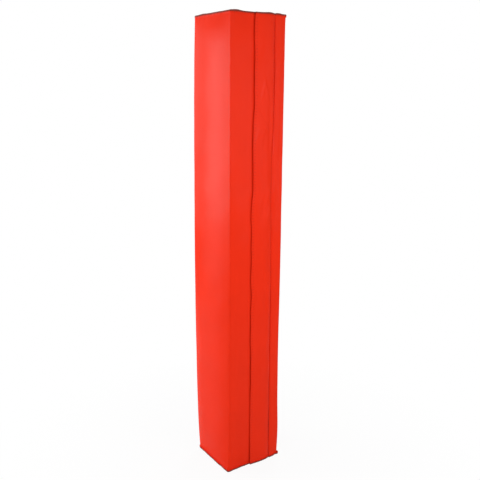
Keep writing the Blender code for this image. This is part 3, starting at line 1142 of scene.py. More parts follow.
    def settle(self) -> None:
        """Lets the three plain faces and the front panel's bare half settle over their foam."""
        spans = {
            "front": (Turn.FRONT_END_OUTER, Turn.FRONT_LEFT),
            "left": (Turn.FRONT_LEFT, Turn.BACK_LEFT),
            "back": (Turn.BACK_LEFT, Turn.BACK_RIGHT),
            "right": (Turn.BACK_RIGHT, Turn.FRONT_RIGHT),
        }
        moved = np.zeros_like(self.surface.points)
        for number, (name, (first, last)) in enumerate(spans.items()):
            keep = slice(self.marks[first], self.marks[last] + 1)
            moved[:, keep] = self.settled_face(self.surface.points[:, keep], number)
            LOG.info("the %s face has settled", name)
        self.surface = Surface.through(self.surface.points + moved, self.surface.along)

    def settled_face(self, points: np.ndarray, seed: int) -> np.ndarray:
        """How far one face moves as it settles.

        Args:
            points: Points of the face, as rows by columns by three.
            seed: Number that sets where its cut is a little too wide.

        Returns:
            The movement of each point.
        """
        steps = np.linalg.norm(np.diff(points[len(points) // 2], axis=0), axis=1)
        length = np.concatenate([[0], np.cumsum(steps)])
        height = points[:, 0, 2]
        across = np.linspace(0, length[-1], round(length[-1] / self.cloth_step) + 1)
        up = np.linspace(0, height[-1], round(height[-1] / self.cloth_step) + 1)
        start = resampled(points, height, length, up, across)
        held = np.zeros(start.shape[:2], bool)
        held[[0, -1]] = True
        held[:, [0, -1]] = True
        held |= (start[:, :, 1] < 0) & (start[:, :, 0] > self.flap.edge - SIZES.half_x + 5 * MM) & (seed == 0)
        slack = 1 + self.cut_excess * (1 + Ripple(0.5, 1.0, 40 + seed).at(up))[:, None]
        middle = start.mean(axis=1, keepdims=True)
        cut = middle + (start - middle) * slack[:, :, None]
        cut[:, :, 2] = start[:, :, 2] * (1 + self.cut_excess)
        return resampled(self.cloth.settle(start, cut, held), up, across, height, length)


def resampled(grid: np.ndarray, rows: np.ndarray, columns: np.ndarray,
              new_rows: np.ndarray, new_columns: np.ndarray) -> np.ndarray:
    """Reads a grid of points at other rows and columns, on a smooth curve through its own.

    Args:
        grid: Values, as rows by columns by three.
        rows: Place of each row.
        columns: Place of each column.
        new_rows: Places of the new rows.
        new_columns: Places of the new columns.

    Returns:
        The values at the new rows and columns.
    """
    in_rows = curve_through(grid, rows, new_rows)
    return curve_through(in_rows.swapaxes(0, 1), columns, new_columns).swapaxes(0, 1)


def curve_through(values: np.ndarray, places: np.ndarray, wanted: np.ndarray) -> np.ndarray:
    """Values at other places along the first axis, on a smooth curve through the given ones.

    Args:
        values: Values at the places.
        places: Places, rising.
        wanted: Places to read.

    Returns:
        The values at the wanted places.
    """
    slopes = np.gradient(values, places, axis=0)
    low = np.clip(np.searchsorted(places, wanted, side="right") - 1, 0, len(places) - 2)
    run = (places[low + 1] - places[low])[:, None, None]
    t = np.clip((wanted - places[low])[:, None, None] / run, 0, 1)
    near = (1 + 2 * t) * (1 - t) ** 2 * values[low] + t * (1 - t) ** 2 * run * slopes[low]
    far = t * t * (3 - 2 * t) * values[low + 1] + t * t * (t - 1) * run * slopes[low + 1]
    return near + far


@dataclass(frozen=True)
class Fold:
    """A corner where two panels fold apart: its place and the two bodies that it joins."""

    name: str
    turn: Turn
    side_x: int
    side_y: int
    still: str
    moving: str
    axis_depth: float = 1.6 * MM

    def corner(self, depth: float) -> np.ndarray:
        """The point in plan that lies this far inside both of the corner's faces."""
        return np.array([self.side_x * (SIZES.half_x - depth), self.side_y * (SIZES.half_y - depth)])

    def axis(self) -> np.ndarray:
        """The axis that the two panels fold about, in plan."""
        return self.corner(self.axis_depth)

    def inner_corner(self) -> np.ndarray:
        """Where the two pockets meet at the column, in plan."""
        return self.corner(SIZES.thickness)


FOLDS = (
    Fold("front_left", Turn.FRONT_LEFT, -1, -1, "left_panel", "front_panel"),
    Fold("back_left", Turn.BACK_LEFT, -1, 1, "back_panel", "left_panel"),
    Fold("back_right", Turn.BACK_RIGHT, 1, 1, "back_panel", "right_panel"),
)


@dataclass(frozen=True)
class HemForm:
    """A sewn hem: its section, as distance out from the vinyl and height, and its line of stitches."""

    section: tuple[tuple[float, float], ...]
    seam: tuple[float, float]
    # How much painted shade each point of the section takes, from 0 to 1: all of it along the folded edge.
    edge: tuple[float, ...]

    @classmethod
    def of(cls, end: End) -> "HemForm":
        """The hem of one end. The foot's lies against the face, the head's stands up above it."""
        if end is End.FOOT:
            section = ((0.1, 0.3), (0.9, 0.0), (2.0, 0.2), (2.7, 1.2), (2.9, 2.8), (2.6, 4.8), (2.4, 5.6),
                       (2.6, 6.4), (2.9, 8.0), (2.6, 9.4), (1.8, 10.0), (0.8, 10.0), (0.1, 9.5))
            return cls(section, (2.45, 5.6), (1, 1, 1, 1, 1, 1, 0.85, 0.5, 0.15, 0, 0, 0, 0))
        section = ((-0.4, -1.0), (0.3, -0.8), (0.5, 1.5), (0.45, 3.2), (0.25, 4.2), (0.45, 5.2), (0.5, 7.4),
                   (0.2, 9.2), (-0.6, 10.0), (-1.6, 10.0), (-2.3, 9.3), (-2.5, 7.4), (-2.2, 4.2), (-2.5, 1.0),
                   (-2.0, -0.4))
        return cls(section, (0.3, 4.2), (0, 0, 0, 0.1, 0.5, 0.8, 1, 1, 1, 1, 1, 0.8, 0, 0, 0))


@dataclass(frozen=True)
class Peak:
    """A place where the end's edge stands up or out: its corner, distance on from it, width and size."""

    turn: Turn
    distance: float
    width: float
    size: float


HEAD_RISES = (
    Peak(Turn.FRONT_LEFT, -30 * MM, 20 * MM, 3.0 * MM),
    Peak(Turn.FRONT_LEFT, 190 * MM, 26 * MM, 1.8 * MM),
    Peak(Turn.FRONT_RIGHT, 36 * MM, 16 * MM, 2.2 * MM),
    Peak(Turn.BACK_LEFT, 110 * MM, 30 * MM, 1.6 * MM),
    Peak(Turn.BACK_RIGHT, 90 * MM, 26 * MM, 1.8 * MM),
)
EARS = {
    End.FOOT: (
        Peak(Turn.FRONT_RIGHT, 0, 7 * MM, 4.5 * MM),
        Peak(Turn.BACK_RIGHT, 0, 6 * MM, 2.5 * MM),
        Peak(Turn.FRONT_LEFT, 0, 6 * MM, 1.0 * MM),
    ),
    End.HEAD: (
        Peak(Turn.FRONT_RIGHT, 0, 10 * MM, 2.6 * MM),
        Peak(Turn.BACK_RIGHT, 0, 6 * MM, 2.5 * MM),
    ),
}


class Stitching:
    """Rows of stitches, made by Geometry Nodes along lines laid on the vinyl."""

    pitch: float = 12 * MM
    length: float = 6.5 * MM
    width: float = 0.9 * MM

    def __init__(self) -> None:
        """Builds the node tree once."""
        self.tree = bpy.data.node_groups.new("stitch_rows", "GeometryNodeTree")
        self.sockets = {}
        self.socket("Lines", "INPUT", "NodeSocketGeometry")
        self.socket("Pitch", "INPUT", "NodeSocketFloat")
        self.socket("Stitch length", "INPUT", "NodeSocketFloat")
        self.socket("Stitch width", "INPUT", "NodeSocketFloat")
        self.socket("Stitches", "OUTPUT", "NodeSocketGeometry")
        self.wire()

    def socket(self, name: str, way: str, kind: str) -> None:
        """Adds an input or an output to the tree.

        Args:
            name: Its name.
            way: INPUT or OUTPUT.
            kind: Its socket type.
        """
        self.sockets[name] = self.tree.interface.new_socket(name=name, in_out=way, socket_type=kind)

    def wire(self) -> None:
        """Adds the nodes: lines to curves, evenly spaced points, one stitch at each."""
        nodes, links = self.tree.nodes, self.tree.links
        source = nodes.new("NodeGroupInput")
        curve = nodes.new("GeometryNodeMeshToCurve")
        spaced = nodes.new("GeometryNodeResampleCurve")
        spaced.mode = "LENGTH"
        tangent = nodes.new("GeometryNodeInputTangent")
        turn = nodes.new("FunctionNodeAlignRotationToVector")
        turn.axis = "Z"
        bead = nodes.new("GeometryNodeMeshUVSphere")
        bead.inputs["Segments"].default_value = 8
        bead.inputs["Rings"].default_value = 5
        bead.inputs["Radius"].default_value = 0.5
        smooth = nodes.new("GeometryNodeSetShadeSmooth")
        size = nodes.new("ShaderNodeCombineXYZ")
        place = nodes.new("GeometryNodeInstanceOnPoints")
        real = nodes.new("GeometryNodeRealizeInstances")
        dress = nodes.new("GeometryNodeSetMaterial")
        dress.inputs["Material"].default_value = THREAD.material()
        sink = nodes.new("NodeGroupOutput")
        links.new(source.outputs["Lines"], curve.inputs["Mesh"])
        links.new(curve.outputs["Curve"], spaced.inputs["Curve"])
        links.new(source.outputs["Pitch"], spaced.inputs["Length"])
        links.new(tangent.outputs["Tangent"], turn.inputs["Vector"])
        for axis, name in (("X", "Stitch width"), ("Y", "Stitch width"), ("Z", "Stitch length")):
            links.new(source.outputs[name], size.inputs[axis])
        links.new(bead.outputs["Mesh"], smooth.inputs["Geometry"])
        links.new(spaced.outputs["Curve"], place.inputs["Points"])
        links.new(smooth.outputs["Geometry"], place.inputs["Instance"])
        links.new(turn.outputs["Rotation"], place.inputs["Rotation"])
        links.new(size.outputs["Vector"], place.inputs["Scale"])
        links.new(place.outputs["Instances"], real.inputs["Geometry"])
        links.new(real.outputs["Geometry"], dress.inputs["Geometry"])
        links.new(dress.outputs["Geometry"], sink.inputs["Stitches"])

    def sew(self, name: str, lines: list[np.ndarray]) -> bpy.types.Object:
        """Sews stitches along some lines.

        Args:
            name: Name of the piece.
            lines: The lines, each as points by three.

        Returns:
            The stitches as one plain mesh.
        """
        points, edges = [], []
        for line in lines:
            start = len(points)
            points += line.tolist()
            edges += [(start + i, start + i + 1) for i in range(len(line) - 1)]
        mesh = bpy.data.meshes.new(name + "_lines")
        mesh.from_pydata(points, edges, [])
        guide = bpy.data.objects.new(name + "_lines", mesh)
        bpy.context.scene.collection.objects.link(guide)
        maker = guide.modifiers.new("stitches", "NODES")
        maker.node_group = self.tree
        for socket, value in (("Pitch", self.pitch), ("Stitch length", self.length),
                              ("Stitch width", self.width)):
            maker[self.sockets[socket].identifier] = value
        made = bpy.data.meshes.new_from_object(guide.evaluated_get(bpy.context.evaluated_depsgraph_get()))
        guide.modifiers.remove(maker)
        bpy.data.objects.remove(guide)
        bpy.data.meshes.remove(mesh)
        return new_object(name, made, THREAD)


@dataclass
class HemMaker:
    """Makes hems and their stitches along stretches of the outer vinyl."""

    vinyl: OuterVinyl
    sway: Ripple = Ripple(0.06, 0.35 * MM, 21)
    head_height: float = 10 * MM

    def peaks(self, peaks: tuple[Peak, ...], along: np.ndarray) -> np.ndarray:
        """Sum of some peaks.

        Args:
            peaks: The peaks.
            along: Places along the vinyl.

        Returns:
            The sum at each place.
        """
        marks, whole = self.vinyl.marks, self.vinyl.surface.along
        total = np.zeros_like(along)
        for peak in peaks:
            middle = whole[marks[peak.turn]]
            total += peak.size * np.exp(-(((along - middle - peak.distance) / peak.width) ** 2))
        return total

    def places(self, part: Surface, end: End, section: np.ndarray) -> np.ndarray:
        """Places of a hem's section at every column of the vinyl.

        Args:
            part: Stretch of the vinyl.
            end: Foot or head.
            section: Distance out and height of each point of the section.

        Returns:
            Points, as columns by section points by three.
        """
        row, near = (0, 3) if end is End.FOOT else (-1, -4)
        out = part.normals[near].copy()
        out[:, 2] = 0
        out /= np.linalg.norm(out, axis=1, keepdims=True)
        base = part.points[row]
        offset = section[None, :, 0] + (self.sway.at(part.along) + self.peaks(EARS[end], part.along))[:, None]
        lean = np.zeros_like(base)
        rise = section[:, 1]
        if end is End.FOOT:
            lean[:, :2] = (part.points[near] - part.points[row])[:, :2] / part.points[near][:, 2:]
            height = np.broadcast_to(rise, offset.shape)
        else:
            stretch = 1 + self.peaks(HEAD_RISES, part.along) / self.head_height
            height = rise[None, :] * stretch[:, None]
        points = base[:, None, :] + out[:, None, :] * offset[:, :, None]
        points += lean[:, None, :] * height[:, :, None]
        points[:, :, 2] = base[:, None, 2] + height
        return points

    def band(self, name: str, part: Surface, end: End) -> bpy.types.Object:
        """Makes the hem itself."""
        form = HemForm.of(end)
        return rod(name, self.places(part, end, np.array(form.section) * MM), HEM_VINYL, form.edge)

    def seam(self, part: Surface, end: End) -> np.ndarray:
        """The line that the hem's stitches follow."""
        return self.places(part, end, np.array([HemForm.of(end).seam]) * MM)[:, 0]


@dataclass
class PadPanel:
    """One padded panel: the pieces in and on its pocket, all riding on its body."""

    name: str
    first: Turn
    last: Turn
    along: tuple[float, float]
    vinyl: OuterVinyl
    hems: HemMaker
    stitching: Stitching
    skin: float = 1.2 * MM
    gap: float = 0.25 * MM
    wall_start: float = 2.8 * MM
    axis_gap: float = 0.8 * MM
    lap_gap: float = 0.4 * MM
    fold_trim: int = 3
    foam_inset: float = 3.0 * MM
    foam_chamfer: float = 6 * MM
    chamfer_reach: float = 16 * MM
    foam_rows: int = 91
    pocket_radius: float = 2.5 * MM
    pocket_crown: float = 0.8 * MM
    plate_gap: float = 0.2 * MM
    plate_puff: float = 3.0 * MM
    inner_step: float = 9 * MM

    @property
    def body(self) -> str:
        """Name of the body that the panel rides on."""
        return self.name + "_panel"

    def fold_at(self, turn: Turn) -> Fold | None:
        """The fold at a corner, or nothing where the panel closes."""
        return next((fold for fold in FOLDS if fold.turn is turn), None)

    def span(self) -> tuple[int, int]:
        """First and last column of the panel's vinyl, between its fold webs."""
        marks, surface = self.vinyl.marks, self.vinyl.surface
        lap = self.vinyl.web_columns()
        start = marks[self.first] + (lap if self.fold_at(self.first) else 0)
        stop = marks[self.last] - (lap if self.fold_at(self.last) else 0)
        return start, min(stop, len(surface.along) - 1)

    def build(self) -> None:
        """Makes every piece of the panel and sets each on its body."""
        self.make_face()
        self.make_pocket()
        self.make_foam()
        for end in End:
            self.make_plate(end)
        LOG.info("%s panel built", self.name)

    def make_face(self) -> None:
        """The outer vinyl with its two hems and their stitches."""
        part = self.vinyl.surface.part(*self.span())
        face = shell(f"{self.name}_face_vinyl", part, self.skin, OUTER_VINYL)
        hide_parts(f"{self.name}_face_sheet")
        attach(face, self.body)
        hem_part = self.hem_stretch()
        for end in End:
            band = self.hems.band(f"{self.name}_{end.value}_hem_band", hem_part, end)
            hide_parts(f"{self.name}_{end.value}_hem")
            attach(band, self.body)
        seams = [self.hems.seam(hem_part, end) for end in End]
        stitches = self.stitching.sew(f"{self.name}_hem_stitches", seams)
        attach(stitches, self.body)

    def hem_stretch(self) -> Surface:
        """The stretch of vinyl that the hems follow: not the turned-in laps of a closing end."""
        start, stop = self.span()
        if self.first is Turn.FRONT_LAP:
            start = self.vinyl.marks[Turn.FRONT_END_OUTER] + 2
        if self.last is Turn.STRIP_LAP:
            stop = self.vinyl.marks[Turn.STRIP_EDGE] + 1
        return self.vinyl.surface.part(start, stop)

    def wall(self, turn: Turn, rows: np.ndarray, inset: float, cut: float = 0.0) -> np.ndarray | None:
        """The mitred wall beside a fold, from the outer vinyl to the inner face.

        Args:
            turn: Corner of the wall.
            rows: Rows of the outer vinyl.
            inset: How far inside the pocket's own outline.
            cut: How much further from the fold the wall starts.

        Returns:
            Two points in plan for each row, or nothing at a closing end.
        """
        fold = self.fold_at(turn)
        if fold is None:
            return None
        outer = self.vinyl.surface.points[rows, self.vinyl.marks[turn], :2]
        inner = fold.inner_corner()
        run = inner - outer
        run /= np.linalg.norm(run, axis=1, keepdims=True)
        into = np.array(self.along) * (1 if turn is self.first else -1)
        aside = into - run * (run @ into)[:, None]
        aside /= np.linalg.norm(aside, axis=1, keepdims=True)
        inward = self.inward()
        to_axis = ((fold.axis() - outer) * run).sum(axis=1)
        away = np.maximum(self.wall_start, to_axis + self.axis_gap)[:, None] + inset + cut
        start = outer + run * away + aside * (self.gap + inset)
        end = inner + into * (self.gap * math.sqrt(2) + inset * (math.sqrt(2) - 1)) - inward * inset
        return np.stack([start, np.broadcast_to(end, start.shape)])

    def inward(self) -> np.ndarray:
        """The direction from the face towards the column."""
        return np.array([self.along[1], -self.along[0]])

    def closing_point(self, rows: np.ndarray, inset: float) -> np.ndarray:
        """Where the inner face ends at the panel's closing end."""
        column = 0 if self.first is Turn.FRONT_LAP else -1
        lap = self.vinyl.surface.points[rows, column, :2]
        into = np.array(self.along) * (1 if column == 0 else -1)
        return lap + into * self.lap_gap - self.inward() * inset

    def make_pocket(self) -> None:
        """The cloth-side vinyl of the mitred walls and of the face that the column touches."""
        z = graded(SIZES.cap_top, 10 * MM, 30 * MM, 60 * MM)
        rows = self.vinyl.rows_near(z)
        heights = self.vinyl.surface.points[rows, 0, 2]
        first, last = self.wall(self.first, rows, 0), self.wall(self.last, rows, 0)
        closed = [self.closing_point(rows, 0)]
        keys = [*(closed if first is None else first), *(closed if last is None else last[::-1])]
        surface = path_through(np.array(keys), heights, self.inner_step, self.pocket_radius,
                               self.pocket_crown)
        cloth = shell(f"{self.name}_pocket_cloth", surface.faced_from(self.middle()), self.skin, LINING)
        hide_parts(f"{self.name}_pocket_sheet")
        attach(cloth, self.body)

    def middle(self) -> Vector:
        """A point inside the panel's foam."""
        start, stop = self.span()
        row = len(self.vinyl.surface.points) // 2
        centre = self.vinyl.surface.points[row, (start + stop) // 2]
        return Vector((*(centre[:2] + self.inward() * SIZES.thickness / 2), centre[2]))

    def outline(self, rows: np.ndarray, inset: float, skip: int, chamfer: float = 0.0) -> np.ndarray:
        """The closed outline inside the pocket at some rows.

        Args:
            rows: Rows of the outer vinyl.
            inset: Distance inside the outer vinyl.
            skip: Every how many columns a point is taken.
            chamfer: How much further inside the outline lies at the folds, on the face and the walls.

        Returns:
            Points in plan, as rows by points by two.
        """
        marks, surface = self.vinyl.marks, self.vinyl.surface
        start, stop = marks[self.first], min(marks[self.last], len(surface.along) - 1)
        if self.first is Turn.FRONT_LAP:
            start = marks[Turn.FRONT_END_INNER]
        if self.last is Turn.STRIP_LAP:
            stop = marks[Turn.STRIP_EDGE] + 2
        start += self.fold_trim if self.fold_at(self.first) else 0
        stop -= self.fold_trim if self.fold_at(self.last) else 0
        columns = np.unique(np.append(np.arange(start, stop, skip), stop))
        depth = np.full(len(columns), inset)
        for turn in (self.first, self.last):
            if self.fold_at(turn):
                away = (surface.along[columns] - surface.along[marks[turn]]) / self.chamfer_reach
                depth += chamfer * np.exp(-(away**2))
        normals = surface.normals[rows][:, columns, :2]
        face = surface.points[rows][:, columns, :2] - normals * depth[None, :, None]
        cut = chamfer * math.sqrt(2)
        last, first = self.wall(self.last, rows, inset, cut), self.wall(self.first, rows, inset, cut)
        tail = [self.closing_point(rows, inset)] if last is None else [*last]
        if first is not None:
            tail += [*first[::-1]]
        return np.concatenate([face, np.stack(tail, axis=1)], axis=1)

    def make_foam(self) -> None:
        """The foam slab that fills the pocket."""
        inset = self.foam_inset
        z = np.linspace(inset, SIZES.cap_top - inset, self.foam_rows)
        rows = self.vinyl.rows_near(z)
        plan = self.outline(rows, inset, 1, self.foam_chamfer)
        height = np.clip(self.vinyl.surface.points[rows, 0, 2], inset, SIZES.cap_top - inset)
        height = np.linspace(height[0], height[-1], len(height))
        sections = np.dstack([plan, np.broadcast_to(height[:, None], plan.shape[:2])])
        foam = rod(f"{self.name}_foam_slab", sections, FOAM)
        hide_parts(f"{self.name}_foam")
        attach(foam, self.body)

    def make_plate(self, end: End) -> None:
        """The vinyl plate that closes the pocket at its foot or its head."""
        row = np.array([0 if end is End.FOOT else len(self.vinyl.surface.points) - 1])
        outline = self.outline(row, self.skin + self.plate_gap, 2)[0]
        low = 0.0 if end is End.FOOT else SIZES.cap_top - self.skin
        puff = 0.0 if end is End.FOOT else self.plate_puff
        piece = plate(f"{self.name}_{end.value}_end_plate", outline, low, self.skin, puff, OUTER_VINYL)
        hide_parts(f"{self.name}_{end.value}_gusset")
        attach(piece, self.body)


def path_through(keys: np.ndarray, heights: np.ndarray, step: float, radius: float, crown: float) -> Surface:
    """A surface through key points in plan at some heights, with rounded corners.

    Args:
        keys: Key points, as points by heights by two.
        heights: The heights.
        step: Spacing of the columns.
        radius: Radius of the corners.
        crown: How far each stretch bulges to the left of its run.

    Returns:
        The surface.
    """
    lengths = np.linalg.norm(np.diff(keys.mean(axis=1), axis=0), axis=1)
    parts, along, reached = [], [], 0.0
    for number, length in enumerate(lengths):
        places = graded(length, radius / 2, step, 3 * radius)[0 if number == 0 else 1:]
        share = places / length
        first, last = keys[number][:, None, :], keys[number + 1][:, None, :]
        run = (last - first) / np.linalg.norm(last - first, axis=2, keepdims=True)
        left = np.dstack([-run[:, :, 1], run[:, :, 0]])
        bulge = crown * (1 - (2 * share - 1) ** 4)
        parts.append(first + (last - first) * share[None, :, None] + left * bulge[None, :, None])
        along.append(reached + places)
        reached += length
    plan, along = np.concatenate(parts, axis=1), np.concatenate(along)
    reach = np.full(len(along), REACH_PER_RADIUS * radius)
    plan = np.array([rounded(line, along, reach) for line in plan])
    return Surface.through(np.dstack([plan, np.broadcast_to(heights[:, None], plan.shape[:2])]), along)


def plate(name: str, outline: np.ndarray, low: float, thickness: float, puff: float,
          finish: Finish) -> bpy.types.Object:
    """Makes a closed level plate with a given outline, blown up in its middle.

    Args:
        name: Name of the piece.
        outline: Closed outline in plan.
        low: Height of its underside at the rim.
        thickness: Its thickness.
        puff: How far its middle is blown up.
        finish: What it is made of.

    Returns:
        The plate.
    """
    step, puff_reach = 9 * MM, 13 * MM
    low_corner, high_corner = outline.min(axis=0), outline.max(axis=0)
    grid = [(x, y) for x in np.arange(low_corner[0], high_corner[0], step)
            for y in np.arange(low_corner[1], high_corner[1], step)]
    inner = [point for point in grid if inside(outline, point) and to_rim(outline, point) > 0.5 * step]
    points = [Vector(point) for point in [*outline.tolist(), *inner]]
    rim = [(i, (i + 1) % len(outline)) for i in range(len(outline))]
    flat, _, faces, *_ = delaunay_2d_cdt(points, rim, [], 1, 1e-7)
    tidy = bmesh.new()
    for point in flat:
        bulge = puff * (1 - math.exp(-to_rim(outline, tuple(point)) / puff_reach))
        tidy.verts.new((point.x, point.y, low + bulge))
    tidy.verts.ensure_lookup_table()
    for face in faces:
        tidy.faces.new([tidy.verts[i] for i in face])
    bmesh.ops.recalc_face_normals(tidy, faces=tidy.faces)
    up = sum(face.normal.z for face in tidy.faces)
    if up < 0:
        bmesh.ops.reverse_faces(tidy, faces=tidy.faces)
    lower = list(tidy.faces)
    made = bmesh.ops.extrude_face_region(tidy, geom=lower)
    raised = [item for item in made["geom"] if isinstance(item, bmesh.types.BMVert)]
    bmesh.ops.translate(tidy, verts=raised, vec=(0, 0, thickness))
    tidy.normal_update()
    bmesh.ops.recalc_face_normals(tidy, faces=tidy.faces)
    mesh = bpy.data.meshes.new(name)
    tidy.to_mesh(mesh)
    tidy.free()
    mesh.shade_smooth()
    mesh.set_sharp_from_angle(angle=SHARP_ANGLE)
    layer = mesh.uv_layers.new(name="vinyl")
    for loop in mesh.loops:
        layer.data[loop.index].uv = mesh.vertices[loop.vertex_index].co[:2]
    return new_object(name, mesh, finish)


def inside(outline: np.ndarray, point: tuple[float, float]) -> bool:
    """Tells whether a point lies inside a closed outline."""
    x0, y0 = outline.T
    x1, y1 = np.roll(x0, -1), np.roll(y0, -1)
    crosses = (y0 > point[1]) != (y1 > point[1])
    with np.errstate(divide="ignore", invalid="ignore"):
        at = x0 + (point[1] - y0) * (x1 - x0) / (y1 - y0)
    return bool(np.count_nonzero(crosses & (point[0] < at)) % 2)


def to_rim(outline: np.ndarray, point: tuple[float, float]) -> float:
    """Distance from a point to a closed outline."""
    run = np.roll(outline, -1, axis=0) - outline
    share = ((np.array(point) - outline) * run).sum(axis=1) / np.maximum((run**2).sum(axis=1), 1e-15)
    nearest = outline + run * np.clip(share, 0, 1)[:, None]
    return float(np.linalg.norm(nearest - point, axis=1).min())


@dataclass
class FoldWeb:
    """The outer vinyl round a fold and the hems' corners on it."""

    fold: Fold
    vinyl: OuterVinyl
    hems: HemMaker
    stitching: Stitching
    skin: float = 1.2 * MM

    def build(self) -> None:
        """Makes the web, its hem corners and their stitches."""
        mark, lap = self.vinyl.marks[self.fold.turn], self.vinyl.web_columns()
        part = self.vinyl.surface.part(mark - lap, mark + lap)
        name = self.fold.name
        web = shell(f"{name}_fold_vinyl", part, self.skin, OUTER_VINYL)
        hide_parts(f"{name}_fold_web")
        pieces = [self.hems.band(f"{name}_{end.value}_hem_corner", part, end) for end in End]
        seams = [self.hems.seam(part, end) for end in End]
        pieces.append(self.stitching.sew(f"{name}_corner_stitches", seams))
        for piece in (web, *pieces):
            self.bend(piece, part)
        LOG.info("%s fold built", name)

    def bend(self, piece: bpy.types.Object, part: Surface) -> None:
        """Works out where the fold's turn would start and end at every height, then only bakes the piece's
        place into its mesh; nothing bends.

        Args:
            piece: The piece.
            part: The web's stretch of the vinyl, whose two edges stay with the panels.
        """
        corner = self.fold.corner(0)
        way = np.array([self.fold.side_x, -self.fold.side_y]) / math.sqrt(2)
        reach = (part.points[:, (0, -1), :2] - corner) @ way
        low, high = sorted(reach.T, key=np.mean)
        places = [corner + way * low.max(), corner + way * high.min()]
        if self.fold.still != "back_panel":
            places.reverse()
        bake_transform(piece)


